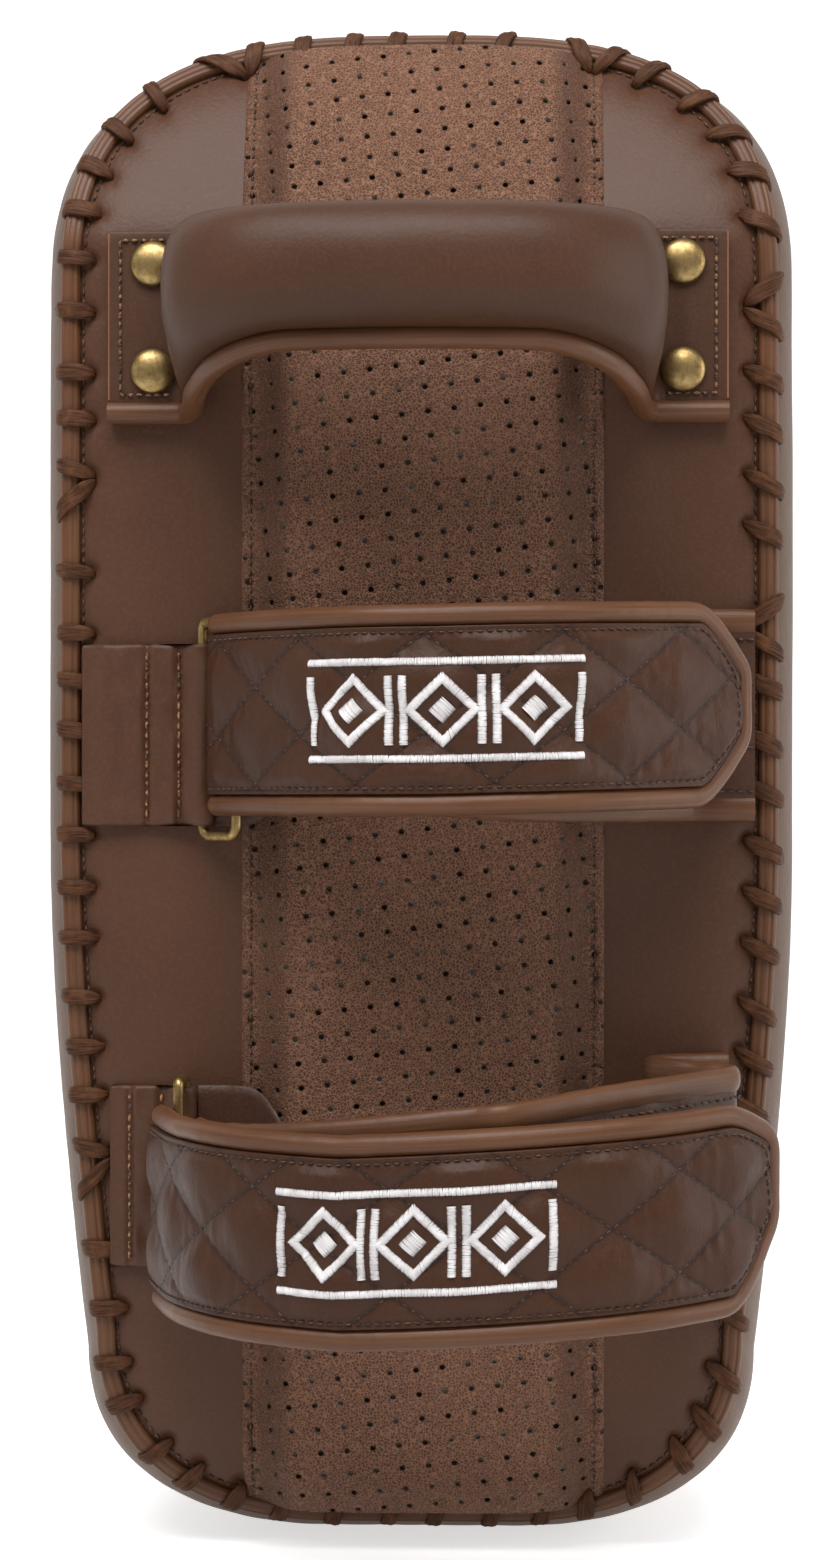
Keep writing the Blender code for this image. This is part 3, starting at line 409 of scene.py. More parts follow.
def new_group(name, inputs, outputs):
    """An empty shader group with its sockets, and its two end nodes."""
    tree = bpy.data.node_groups.new(name, "ShaderNodeTree")
    for label, kind, value in inputs:
        socket = tree.interface.new_socket(label, in_out="INPUT", socket_type=kind)
        if value is not None:
            socket.default_value = value
    for label in outputs:
        tree.interface.new_socket(label, in_out="OUTPUT", socket_type="NodeSocketFloat")
    return tree, tree.nodes.new("NodeGroupInput").outputs, tree.nodes.new("NodeGroupOutput")


def grain_group():
    """Leather grain: rounded pebbles with fine creases between them, and a mottle of tone."""
    inputs = [("Vector", "NodeSocketVector", None), ("Size", "NodeSocketFloat", 0.001)]
    tree, given, result = new_group("leather_grain", inputs, ["Height", "Mottle"])
    scale = math_node(tree, "DIVIDE", 1.0, given["Size"])
    moved = shaken(tree, given["Vector"], 260.0, 0.0016)
    cells = add_node(tree, "ShaderNodeTexVoronoi", {"Vector": moved, "Scale": scale}, feature="SMOOTH_F1")
    pebble = spread(tree, cells.outputs["Distance"], 0.15, 0.75, 1.0, 0.0)
    fine = noise(tree, moved, math_node(tree, "MULTIPLY", scale, 2.6), 3.0, 0.6)
    height = math_node(tree, "ADD", math_node(tree, "MULTIPLY", pebble, 0.6),
                       math_node(tree, "MULTIPLY", fine, 0.4))
    tree.links.new(height, result.inputs["Height"])
    tree.links.new(noise(tree, given["Vector"], 22.0, 5.0, 0.55), result.inputs["Mottle"])
    return tree


def crease_group():
    """Long soft creases: noise stretched along one direction of a vector that is already scaled."""
    tree, given, result = new_group("creases", [("Vector", "NodeSocketVector", None)], ["Height"])
    soft = noise(tree, given["Vector"], 1.0, 3.0, 0.6, 0.4)
    ridge = math_node(tree, "ABSOLUTE", math_node(tree, "SUBTRACT", soft, 0.5))
    tree.links.new(spread(tree, ridge, 0.0, 0.12, 0.0, 1.0), result.inputs["Height"])
    return tree


def crackle_group():
    """Waxed nubuck: a net of pale cracks over dark flecks, and a broad rubbed tone."""
    inputs = [("Vector", "NodeSocketVector", None)]
    tree, given, result = new_group("crackle", inputs, ["Crack", "Fleck", "Rub"])
    moved = shaken(tree, given["Vector"], 900.0, 0.0011)
    cells = add_node(tree, "ShaderNodeTexVoronoi", {"Vector": moved, "Scale": 1250.0},
                     feature="DISTANCE_TO_EDGE")
    flecks = noise(tree, given["Vector"], 900.0, 2.0, 0.6)
    clouds = noise(tree, given["Vector"], 17.0, 4.0, 0.6)
    tree.links.new(spread(tree, cells.outputs["Distance"], 0.02, 0.20, 1.0, 0.0), result.inputs["Crack"])
    tree.links.new(spread(tree, flecks, 0.42, 0.66), result.inputs["Fleck"])
    tree.links.new(spread(tree, clouds, 0.35, 0.68), result.inputs["Rub"])
    return tree


GROUPS = {"grain": grain_group(), "creases": crease_group(), "crackle": crackle_group()}


def use_group(tree, name, inputs):
    """The outputs of one of the shared groups, placed in a material."""
    return add_node(tree, "ShaderNodeGroup", inputs, node_tree=GROUPS[name]).outputs


def new_material(name, roughness, metallic=0.0, **extra):
    """A material with a Principled shader whose constants are set on its own sockets."""
    material = bpy.data.materials.new(name)
    material.use_nodes = True
    tree = material.node_tree
    shader = tree.nodes["Principled BSDF"]
    shader.inputs["Roughness"].default_value = roughness
    shader.inputs["Metallic"].default_value = metallic
    for label, value in extra.items():
        shader.inputs[label.replace("_", " ")].default_value = value
    coordinates = tree.nodes.new("ShaderNodeTexCoord").outputs
    return material, tree, shader, coordinates


def finish_material(tree, shader, colour, roughness, height, distance, strength):
    """Link colour, roughness and a bump to the shader."""
    tree.links.new(colour, shader.inputs["Base Color"])
    if roughness is not None:
        tree.links.new(roughness, shader.inputs["Roughness"])
    relief = add_node(tree, "ShaderNodeBump", {"Height": height, "Distance": distance, "Strength": strength})
    tree.links.new(relief.outputs[0], shader.inputs["Normal"])


def scaled(tree, vector, scale):
    """A vector stretched by a Mapping node."""
    return add_node(tree, "ShaderNodeMapping", {"Vector": vector, "Scale": scale}).outputs[0]


def leather(name, deep, base, worn, size, roughness, distance=0.00012, creases=None, seams=0.0):
    """Finished cowhide: pebble grain, soft mottle from deep to worn, optional long creases, and optional
    painted shade along quilting lines (seams).
    """
    material, tree, shader, space = new_material(name, roughness[0], Specular_IOR_Level=0.28)
    grain = use_group(tree, "grain", {"Vector": space["Object"], "Size": size})
    tone = mix_colour(tree, spread(tree, grain["Mottle"], 0.20, 0.75, 0.25, 0.95), deep, base)
    tone = mix_colour(tree, spread(tree, grain["Height"], 0.45, 0.95, 0.0, 0.35), tone, worn)
    height = grain["Height"]
    if creases:
        folds = use_group(tree, "creases", {"Vector": scaled(tree, space["Object"], creases)})
        height = math_node(tree, "ADD", height, math_node(tree, "MULTIPLY", folds["Height"], 0.45))
    # painted shade: where the seam attribute marks a quilting line, the tone is darkened towards near black,
    # standing in for the shade in the quilting grooves
    if seams:
        seam = add_node(tree, "ShaderNodeAttribute", attribute_name="seam").outputs["Fac"]
        tone = mix_colour(tree, math_node(tree, "MULTIPLY", seam, seams), tone, (0.016, 0.006, 0.004))
    rough = spread(tree, grain["Height"], 0.2, 1.0, roughness[1], roughness[0])
    finish_material(tree, shader, tone, rough, height, distance, 0.55)
    return material


def nubuck(name):
    """Perforated waxed nubuck: a crackled nap, rubbed lighter in patches, painted shade on the sloped sides
    of its padded middle, and painted shade inside its holes, lightened to pale foam in some of them.
    """
    material, tree, shader, space = new_material(name, 0.62, Sheen_Weight=0.06, Sheen_Roughness=0.5,
                                                 Specular_IOR_Level=0.35)
    shader.inputs["Sheen Tint"].default_value = (0.75, 0.50, 0.38, 1.0)
    crackle = use_group(tree, "crackle", {"Vector": space["Object"]})
    slope = add_node(tree, "ShaderNodeAttribute", attribute_name="slope").outputs["Fac"]
    tone = mix_colour(tree, crackle["Rub"], (0.072, 0.027, 0.013), (0.118, 0.049, 0.027))
    tone = mix_colour(tree, math_node(tree, "MULTIPLY", crackle["Crack"], 0.70), tone, (0.345, 0.165, 0.092))
    tone = mix_colour(tree, math_node(tree, "MULTIPLY", crackle["Fleck"], 0.15), tone, (0.048, 0.018, 0.010))
    # painted shade: the sloped sides of the padded middle face sideways, away from the light above, and are
    # painted darker and more saturated by the slope attribute
    tone = mix_colour(tree, math_node(tree, "MULTIPLY", slope, 0.60), tone, (0.066, 0.024, 0.010))
    # painted shade inside the holes: pit takes the hole walls and floor to near black, and pale turns some
    # holes to the foam that shows through
    pit = add_node(tree, "ShaderNodeAttribute", attribute_name="pit").outputs["Fac"]
    pale = add_node(tree, "ShaderNodeAttribute", attribute_name="pale").outputs["Fac"]
    inside = mix_colour(tree, pale, (0.034, 0.015, 0.009), (0.380, 0.330, 0.290))
    tone = mix_colour(tree, pit, tone, inside)
    height = math_node(tree, "ADD", math_node(tree, "MULTIPLY", crackle["Crack"], -0.6), crackle["Fleck"])
    rough = spread(tree, crackle["Crack"], 0.0, 1.0, 0.70, 0.48)
    finish_material(tree, shader, tone, rough, height, 0.00026, 0.8)
    return material


def piping_leather(name):
    """Tan leather drawn over a cord: streaks along it, a cloudy tone and fine grain."""
    material, tree, shader, space = new_material(name, 0.42, Specular_IOR_Level=0.35)
    grain = use_group(tree, "grain", {"Vector": space["Object"], "Size": 0.0006})
    streak = noise(tree, scaled(tree, space["UV"], (30.0, 1500.0, 1.0)), 1.0, 3.0, 0.6)
    pinch = noise(tree, scaled(tree, space["UV"], (420.0, 60.0, 1.0)), 1.0, 3.0, 0.6)
    cloud = spread(tree, grain["Mottle"], 0.30, 0.70)
    tone = mix_colour(tree, cloud, (0.082, 0.029, 0.010), (0.127, 0.049, 0.019))
    tone = mix_colour(tree, spread(tree, streak, 0.35, 0.75, 0.0, 0.5), tone, (0.185, 0.088, 0.046))
    tone = mix_colour(tree, spread(tree, pinch, 0.60, 0.80, 0.0, 0.35), tone, (0.062, 0.025, 0.012))
    height = math_node(tree, "ADD", math_node(tree, "MULTIPLY", streak, 0.8),
                       math_node(tree, "MULTIPLY", pinch, 0.9))
    rough = spread(tree, grain["Height"], 0.2, 1.0, 0.36, 0.50)
    finish_material(tree, shader, tone, rough, height, 0.00016, 0.6)
    return material


def cord_fibre(name, deep, base, worn, lengthwise):
    """Lace: fibres drawn out along the UV's first direction, with painted shade in the low places between
    them.
    """
    roughness = 0.6
    material, tree, shader, space = new_material(name, roughness, Specular_IOR_Level=0.25)
    fibres = noise(tree, scaled(tree, space["UV"], (lengthwise, 5200.0, 1.0)), 1.0, 3.0, 0.65)
    cloud = noise(tree, space["Object"], 240.0, 3.0, 0.6)
    # painted shade: the deep tone falls where the fibre height is low, in the grooves between the strands
    tone = mix_colour(tree, spread(tree, fibres, 0.38, 0.60), deep, base)
    tone = mix_colour(tree, spread(tree, cloud, 0.50, 0.75, 0.0, 0.6), tone, worn)
    rough = spread(tree, fibres, 0.3, 0.7, roughness + 0.12, roughness - 0.06)
    finish_material(tree, shader, tone, rough, fibres, 0.00012, 0.9)
    return material


def thread(name, first, last, roughness=0.55, size=900.0, twisted=0.22):
    """Sewing thread: two tones that change from stitch to stitch, with a fine twist."""
    material, tree, shader, space = new_material(name, roughness)
    change = noise(tree, space["Object"], size, 1.0, 0.5)
    inputs = {"Vector": space["Object"], "Scale": 1700.0, "Distortion": 3.0}
    twist = add_node(tree, "ShaderNodeTexWave", inputs, bands_direction="DIAGONAL").outputs["Fac"]
    tone = mix_colour(tree, spread(tree, change, 0.42, 0.60), first, last)
    tone = mix_colour(tree, math_node(tree, "MULTIPLY", twist, twisted), tone, (0.02, 0.012, 0.008))
    finish_material(tree, shader, tone, None, twist, 0.00006, 0.6)
    return material


def woven(name, deep, base, size, roughness=0.8):
    """Woven or looped cloth: two crossed waves for the yarns, with fuzz between them, and painted shade in
    the low places between the yarns.
    """
    material, tree, shader, space = new_material(name, roughness, Sheen_Weight=0.15, Sheen_Roughness=0.6)
    inputs = {"Vector": space["Object"], "Scale": 0.5 / size, "Distortion": 0.6}
    waves = [add_node(tree, "ShaderNodeTexWave", inputs, bands_direction=axis).outputs["Fac"]
             for axis in ("X", "Z")]
    yarn = math_node(tree, "MAXIMUM", *waves)
    fuzz = noise(tree, space["Object"], 2200.0, 3.0, 0.7)
    # painted shade: the deep tone falls where yarn and fuzz are low, between the yarns
    tone = mix_colour(tree, math_node(tree, "MULTIPLY", yarn, fuzz, clamp=True), deep, base)
    finish_material(tree, shader, tone, None, math_node(tree, "ADD", yarn, fuzz), 0.0002, 0.6)
    return material


def old_brass(name, deep, base, bright):
    """Antique brass: brushed bright on top, brown in the low places, with fine pits."""
    material, tree, shader, space = new_material(name, 0.36, 1.0)
    cloud = noise(tree, space["Object"], 380.0, 5.0, 0.65)
    brush = noise(tree, scaled(tree, space["Object"], (2600.0, 2600.0, 300.0)), 1.0, 3.0, 0.6)
    tone = mix_colour(tree, spread(tree, cloud, 0.36, 0.62), deep, base)
    tone = mix_colour(tree, spread(tree, brush, 0.48, 0.80, 0.0, 0.4), tone, bright)
    rough = spread(tree, cloud, 0.3, 0.7, 0.50, 0.30)
    finish_material(tree, shader, tone, rough, math_node(tree, "ADD", cloud, brush), 0.00008, 0.5)
    return material


def foam(name):
    """Closed-cell foam: fine cells and a faint mottle."""
    material, tree, shader, space = new_material(name, 0.9)
    inputs = {"Vector": space["Object"], "Scale": 1400.0}
    cells = add_node(tree, "ShaderNodeTexVoronoi", inputs).outputs["Distance"]
    cloud = noise(tree, space["Object"], 30.0, 3.0, 0.5)
    tone = mix_colour(tree, spread(tree, cloud, 0.3, 0.7), (0.190, 0.182, 0.170), (0.260, 0.250, 0.235))
    tone = mix_colour(tree, spread(tree, cells, 0.0, 0.6, 0.0, 0.3), tone, (0.10, 0.095, 0.088))
    finish_material(tree, shader, tone, None, cells, 0.0002, 0.5)
    return material


DARK = ((0.066, 0.026, 0.013), (0.090, 0.038, 0.020), (0.124, 0.058, 0.034))
MATERIALS = {
    "panel": leather("panel_leather", *DARK, 0.00095, (0.50, 0.40)),
    "wall": leather("wall_leather", (0.112, 0.068, 0.046), (0.150, 0.095, 0.067), (0.190, 0.128, 0.094),
                    0.0010, (0.55, 0.44)),
    "grip": leather("grip_leather", (0.051, 0.020, 0.009), (0.073, 0.029, 0.014), (0.099, 0.044, 0.022),
                    0.00085, (0.54, 0.44), 0.00010),
    "strap": leather("strap_leather", (0.050, 0.020, 0.011), (0.072, 0.030, 0.017), (0.102, 0.047, 0.028),
                     0.00080, (0.50, 0.38), 0.00012, creases=(300.0, 300.0, 90.0)),
    # the quilted flaps get painted shade along their quilting lines (seams=0.70)
    "quilt": leather("quilted_leather", (0.039, 0.013, 0.005), (0.060, 0.021, 0.008), (0.082, 0.032, 0.014),
                     0.00080, (0.54, 0.42), 0.00012, creases=(300.0, 300.0, 110.0), seams=0.70),
    "suede": nubuck("perforated_nubuck"),
    "piping": piping_leather("piping_leather"),
    "lace": cord_fibre("waxed_lace", (0.020, 0.006, 0.002), (0.103, 0.036, 0.011),
                       (0.162, 0.061, 0.021), 160.0),
    "thread": thread("brown_thread", (0.030, 0.014, 0.009), (0.120, 0.060, 0.035)),
    "gold": thread("gold_thread", (0.060, 0.026, 0.012), (0.420, 0.200, 0.080)),
    "mixed": thread("two_tone_thread", (0.034, 0.015, 0.009), (0.300, 0.150, 0.065), 0.55, 1400.0),
    "white": thread("white_thread", (0.84, 0.80, 0.80), (0.96, 0.93, 0.93), 0.5, 300.0, 0.08),
    "brass": old_brass("antique_brass", (0.230, 0.145, 0.055), (0.440, 0.310, 0.130), (0.580, 0.440, 0.220)),
    "steel": old_brass("plated_steel", (0.220, 0.215, 0.205), (0.420, 0.415, 0.400), (0.600, 0.600, 0.590)),
    "webbing": woven("webbing", (0.020, 0.011, 0.008), (0.090, 0.050, 0.035), 0.0006),
    "nap": woven("hook_and_loop", (0.014, 0.008, 0.006), (0.060, 0.036, 0.026), 0.0003, 0.9),
    "foam": foam("foam"),
    "raw": leather("raw_edge", (0.160, 0.060, 0.030), (0.300, 0.120, 0.060), (0.420, 0.210, 0.110), 0.0004,
                   (0.85, 0.7)),
}


# ---------------------------------------------------------------- pad faces

def wall_half_width(level):
    """Half the pad's width at a level: drawn in below, and a superellipse at each rounded corner."""
    level = np.asarray(level, float)
    fall = np.clip((TAPER_START - level) / (TAPER_START - LOWER_CORNER), 0.0, 1.0)
    width = PAD_HALF_WIDTH - TAPER * fall ** TAPER_POWER
    low = np.clip((LOWER_CORNER - level) / LOWER_CORNER, 0.0, 1.0)
    high = np.clip((level - UPPER_CORNER) / (PAD_HEIGHT - UPPER_CORNER), 0.0, 1.0)
    round_low = (1.0 - low ** LOWER_CORNER_POWER) ** (1.0 / LOWER_CORNER_POWER)
    below = LOWER_FLAT + (width - LOWER_FLAT) * round_low
    above = width * (1.0 - high ** UPPER_CORNER_POWER) ** (1.0 / UPPER_CORNER_POWER)
    return np.where(level < LOWER_CORNER, below, above)


def arm_y(level):
    """Y of the arm side: flat, with both ends bent towards the struck side."""
    upper = np.maximum(level - UPPER_BEND_START, 0.0)
    lower = np.maximum(LOWER_BEND_START - level, 0.0)
    shift = UPPER_BEND_SLOPE * upper ** 2 / (upper + UPPER_BEND_EASE)
    return -PAD_DEPTH / 2 + shift + LOWER_BEND * lower ** 2


def depth_y(level, depth):
    """Y at a depth below the arm side, as a share of the way to the hollow struck side."""
    arm = arm_y(level)
    strike = PAD_DEPTH / 2 + STRIKE_SWEEP * (2.0 * level / PAD_HEIGHT - 1.0) ** 2
    return arm + (strike - arm) * depth / PAD_DEPTH


def outline(side, lower, upper, count=OUTLINE_POINTS):
    """(x, z) at even distances round the pad's outline, drawn in, from the middle of the lower end."""
    share = 0.5 - 0.5 * np.cos(np.linspace(0.0, np.pi, 700))
    x = wall_half_width(share * PAD_HEIGHT) * (1.0 - side / PAD_HALF_WIDTH)
    z = lower + share * (PAD_HEIGHT - upper - lower)
    right = np.stack([x, z], -1)
    path = np.concatenate([[[0.0, lower]], right, right[::-1] * (-1.0, 1.0), [[0.0, lower]]])
    run = run_of(path)
    return read(path, run, np.arange(count) / count * run[-1])


SEAM = outline(*SEAM_INSETS)
SEAM_3D = np.stack([SEAM[:, 0], depth_y(SEAM[:, 1], SEAM_DEPTH), SEAM[:, 1]], -1)
SEAM_RUN = run_of(np.concatenate([SEAM_3D, SEAM_3D[:1]]))
SEAM_LENGTH = SEAM_RUN[-1]
SEAM_RUN = SEAM_RUN[:-1]


def arm_normal(level):
    """Unit normals of the arm side at a level."""
    slope = (arm_y(level + 0.0005) - arm_y(level - 0.0005)) / 0.001
    return unit(np.stack([np.zeros_like(slope), -np.ones_like(slope), slope], -1))


def seam_frame(run):
    """Point, outward and forward of the seam line at distances along it."""
    point = read(SEAM_3D, SEAM_RUN, run, SEAM_LENGTH)
    along = unit(read(tangents(SEAM_3D, True), SEAM_RUN, run, SEAM_LENGTH))
    forward = arm_normal(point[..., 2])
    outward = unit(np.cross(forward, along))
    from_middle = (point - (0.0, 0.0, PAD_HEIGHT / 2)) * (1.0, 0.0, 1.0)
    flip = np.sign((outward * from_middle).sum(-1, keepdims=True))
    outward = outward * flip
    square = np.cross(along, outward)
    return point, outward, unit(square * np.sign(-square[..., 1:2]))


def lace_holes():
    """Where each turn of the lace passes the panel and the wall, as distances along the seam.

    The turns are evenly spaced with a small scatter.  They lean back by 1 mm on the left and 5 mm on
    the right, and at a few places two turns share a hole.
    """
    rng = np.random.default_rng(11)
    pitch = SEAM_LENGTH / LACE_TURNS
    inner = (np.arange(LACE_TURNS) + 0.5 + rng.uniform(-0.10, 0.10, LACE_TURNS)) * pitch
    x = np.interp(inner, SEAM_RUN, SEAM[:, 0], period=SEAM_LENGTH)
    z = np.interp(inner, SEAM_RUN, SEAM[:, 1], period=SEAM_LENGTH)
    outer = inner - 0.0030 - 0.0022 * x / 0.09 + rng.uniform(-0.0006, 0.0006, LACE_TURNS)
    shared = [(0.088, 0.330), (0.090, 0.247), (-0.090, 0.272),
              (-0.085, 0.090), (-0.064, 0.386), (0.040, 0.392)]
    for spot_x, spot_z in shared:
        turn = int(np.argmin((x - spot_x) ** 2 + (z - spot_z) ** 2))
        inner[turn] = inner[turn - 1] + 0.0016
        outer[turn - 1] -= 0.0018
    return inner, outer


LACE_IN, LACE_OUT = lace_holes()


def to_hole(run, holes):
    """Distance along the seam to the nearest hole."""
    gap = np.abs(run.reshape(-1, 1) - holes[None])
    return np.minimum(gap, SEAM_LENGTH - gap).min(1).reshape(run.shape)


def seam_distance(x, z):
    """How far points lie inside the seam line, and how far along it their nearest point is."""
    points = np.stack([x, z], -1).reshape(-1, 2)
    distance, run = np.empty(len(points)), np.empty(len(points))
    for part in np.array_split(np.arange(len(points)), len(points) // 4000 + 1):
        square = ((points[part, None] - SEAM[None]) ** 2).sum(-1)
        nearest = square.argmin(1)
        distance[part] = np.sqrt(square[np.arange(len(part)), nearest])
        run[part] = SEAM_RUN[nearest]
    return distance.reshape(x.shape), run.reshape(x.shape)


def arm_standoff(x, z):
    """Standoff of the leather: it falls to the seam as e to the minus (distance / reach) to a power,
    with a dimple round each lace hole, a pucker between them and a slow ripple."""
    distance, run = seam_distance(x, z)
    fall = EDGE_FALL * np.exp(-(distance / EDGE_REACH) ** EDGE_POWER)
    hole = to_hole(run, LACE_IN)
    dimple = 0.0012 * bell(hole, 0.0016) * bell(distance - LACE_HOLE_INSET, 0.0018)
    pucker = 0.0005 * bell(hole, 0.0040) * bell(distance - 0.004, 0.006)
    wave = 0.00022 * ripple(np.stack([x, z], -1), 0.045, 3) * smooth(distance, 0.004, 0.02)
    return wave - fall - dimple - pucker


def raised(x):
    """Standoff of the centre panel's padded middle over its edges."""
    reach = np.abs(x - PANEL_SHIFT)
    middle = RAISE * (1.0 - smooth(reach, RAISE_TOP, RAISE_FOOT))
    crown = 0.0006 * (1.0 - np.clip(reach / RAISE_TOP, 0.0, 1.0) ** 2)
    return middle + crown


def arm_point(x, z, lift=0.0):
    """Points on the arm side's leather, lifted off it."""
    return np.stack(np.broadcast_arrays(x, arm_y(z) - arm_standoff(x, z) - lift, z), -1)


def make_side_panels():
    """The two plain panels, each a sheet of level rows from under the centre panel out to the seam."""
    edge = outline(*PANEL_INSETS)
    for label, side in (("left", -1.0), ("right", 1.0)):
        inner = side * (PANEL_HALF_WIDTH - 0.003) + PANEL_SHIFT
        reach = edge[(edge[:, 0] * side > abs(inner) + 0.0001)]
        reach = reach[np.argsort(reach[:, 1])]
        share = 1.0 - (1.0 - np.linspace(0.0, 1.0, 44)) ** 1.5
        x = inner + (reach[:, :1] - inner) * share[None]
        z = np.broadcast_to(reach[:, 1:], x.shape)
        name = f"panel_{label}_leather"
        piece = grid(name, arm_point(x, z), MATERIALS["panel"], toward=(0, -1, 0))
        place(thicken(piece, COVER_THICKNESS), "pad", "dark_leather", f"back_panel_{label}")


def perforated_cells(columns, rows):
    """Points, faces, hole mask and paleness of lattice cells, each a square drawn in to a round hole; the
    hole mask places the painted shade inside the holes.
    """
    side = np.linspace(-0.5, 0.5, HOLE_SIDES // 4 + 1)[:-1]
    half = np.full(len(side), 0.5)
    square = np.concatenate([np.stack([side, -half], -1), np.stack([half, side], -1),
                             np.stack([-side, half], -1), np.stack([-half, -side], -1)])
    angle = np.arctan2(square[:, 1], square[:, 0])
    circle = np.stack([np.cos(angle), np.sin(angle)], -1)
    size = HOLE_RADIUS / np.linalg.norm(LATTICE[0])
    # each ring: shape, depth, and its share of the hole colour, which is painted shade lightened to foam in
    # pale cells
    rings = [(square, 0.0, 0.0), (circle * size * 2.3, 0.0, 0.0), (circle * size * 1.25, 0.00012, 0.0),
             (circle * size, 0.00045, 0.6), (circle * size * 0.9, 0.0016, 1.0), (circle * 0.0, 0.0017, 1.0)]
    shapes, depths, masks = zip(*rings)
    flat = np.concatenate(shapes)
    sink, pit = np.repeat(depths, HOLE_SIDES), np.repeat(masks, HOLE_SIDES)
    cell = np.stack(np.meshgrid(columns, rows), -1).reshape(-1, 2)
    rng = np.random.default_rng(5)
    pale = (rng.random(len(cell)) ** 1.6)[:, None] * np.ones(len(flat))
    spots = (cell[:, None] + flat[None]) @ LATTICE + LATTICE_ORIGIN
    points = np.concatenate([spots, np.broadcast_to(sink[None, :, None], spots.shape[:2] + (1,))], -1)
    turn = np.arange(HOLE_SIDES)
    after = (turn + 1) % HOLE_SIDES
    band = np.stack([turn, after, HOLE_SIDES + after, HOLE_SIDES + turn], -1)
    quads = np.concatenate([ring * HOLE_SIDES + band for ring in range(len(rings) - 1)])
    faces = (np.arange(len(cell)) * len(flat))[:, None, None] + quads[None]
    return points.reshape(-1, 3), faces.reshape(-1, 4), np.tile(pit, len(cell)), pale.ravel()


def make_centre_panel():
    """The perforated panel: lattice cells on the flat hide, trimmed, then bent over the padded middle.

    The flat hide's first coordinate is the distance across the panel's raised profile and its second
    the distance along the pad, so that holes on a slope look closer together.
    """
    x = np.linspace(-PANEL_HALF_WIDTH, PANEL_HALF_WIDTH, 600) + PANEL_SHIFT
    profile = raised(x)
    across = run_of(np.stack([x, profile], -1))
    across -= np.interp(PANEL_SHIFT, x, across)
    level = np.linspace(0.0, PAD_HEIGHT, 800)
    along = run_of(np.stack([level, arm_y(level)], -1))
    along -= np.interp(0.200, level, along)
    edge = outline(*PANEL_INSETS)
    low = edge[edge[:, 1] < 0.1]
    high = edge[edge[:, 1] > 0.3]
    low_z = np.interp(x, *low[np.argsort(low[:, 0])].T)
    high_z = np.interp(x, *high[np.argsort(high[:, 0])].T)
    bottom, top = np.interp([low_z.min(), high_z.max()], level, along)
    points, faces, pit, pale = perforated_cells(np.arange(-14, 20), np.arange(-38, 42))
    mesh = bpy.data.meshes.new("centre_panel_nubuck")
    margin = 0.012
    reach = np.abs(points[:, 0] - across.mean()) < across.max() + margin
    reach &= (points[:, 1] > bottom - margin) & (points[:, 1] < top + margin)
    faces = faces[reach[faces].all(1)]
    mesh.from_pydata(points.tolist(), [], faces.tolist())
    for label, values in (("pit", pit), ("pale", pale)):
        mesh.attributes.new(label, "FLOAT", "POINT").data.foreach_set("value", values.astype(np.float32))
    bm = bmesh.new()
    bm.from_mesh(mesh)
    bmesh.ops.delete(bm, geom=[vertex for vertex in bm.verts if not vertex.link_faces], context="VERTS")
    bmesh.ops.remove_doubles(bm, verts=bm.verts, dist=1e-6)
    cuts = (((across.max(), 0, 0), (1, 0, 0)), ((across.min(), 0, 0), (-1, 0, 0)),
            ((0, top, 0), (0, 1, 0)), ((0, bottom, 0), (0, -1, 0)))
    for point, normal in cuts:
        bmesh.ops.bisect_plane(bm, geom=bm.verts[:] + bm.edges[:] + bm.faces[:], dist=1e-7,
                               plane_co=point, plane_no=normal, clear_outer=True)
    rim = [edge for edge in bm.edges if edge.is_boundary]
    skirt = bmesh.ops.extrude_edge_only(bm, edges=rim)["geom"]
    for vertex in skirt:
        if isinstance(vertex, bmesh.types.BMVert):
            vertex.co.z = 0.0022
    bm.to_mesh(mesh)
    bm.free()
    flat = np.empty(len(mesh.vertices) * 3, np.float32)
    mesh.vertices.foreach_get("co", flat)
    u, v, sink = flat.reshape(-1, 3).astype(float).T
    px = np.interp(u, across, x)
    lower = np.interp(px, x, np.interp(low_z, level, along)) - bottom
    upper = np.interp(px, x, np.interp(high_z, level, along)) - top
    near_bottom, near_top = 1.0 - smooth(v, bottom, bottom + PANEL_TAPER), smooth(v, top - PANEL_TAPER, top)
    v = v + lower * near_bottom + upper * near_top
    pz = np.interp(v, along, level)
    rim_reach = PANEL_HALF_WIDTH - np.abs(px - PANEL_SHIFT)
    roll = PANEL_PROUD * np.sqrt(np.clip(1.0 - (1.0 - rim_reach / 0.0011).clip(0.0, 1.0) ** 2, 0.0, 1.0))
    sewn = 0.0006 * bell(rim_reach - 0.0024, 0.0006)
    base = arm_standoff(px, pz) + raised(px) + roll - sewn
    placed = np.stack([px, arm_y(pz) - base + sink, pz], -1)
    mesh.vertices.foreach_set("co", placed.astype(np.float32).ravel())
    # slope: a mask of the padded middle's sloped sides, eased off at their foot, which the nubuck darkens as
    # painted shade
    foot = np.abs(px - PANEL_SHIFT)
    slope = smooth(foot, RAISE_TOP - 0.002, RAISE_TOP + 0.003)
    slope = slope * (1.0 - 0.6 * smooth(foot, RAISE_FOOT - 0.001, RAISE_FOOT))
    mesh.attributes.new("slope", "FLOAT", "POINT").data.foreach_set("value", slope.astype(np.float32))
    mesh.update()
    bm = bmesh.new()
    bm.from_mesh(mesh)
    bmesh.ops.recalc_face_normals(bm, faces=bm.faces)
    lean = sum((face.normal.y * face.calc_area() for face in bm.faces), 0.0)
    if lean > 0.0:
        bmesh.ops.reverse_faces(bm, faces=bm.faces)
    bm.to_mesh(mesh)
    bm.free()
    piece = new_object("centre_panel_nubuck", mesh, MATERIALS["suede"])
    place(piece, "pad", "perforated_suede", "back_center_panel")


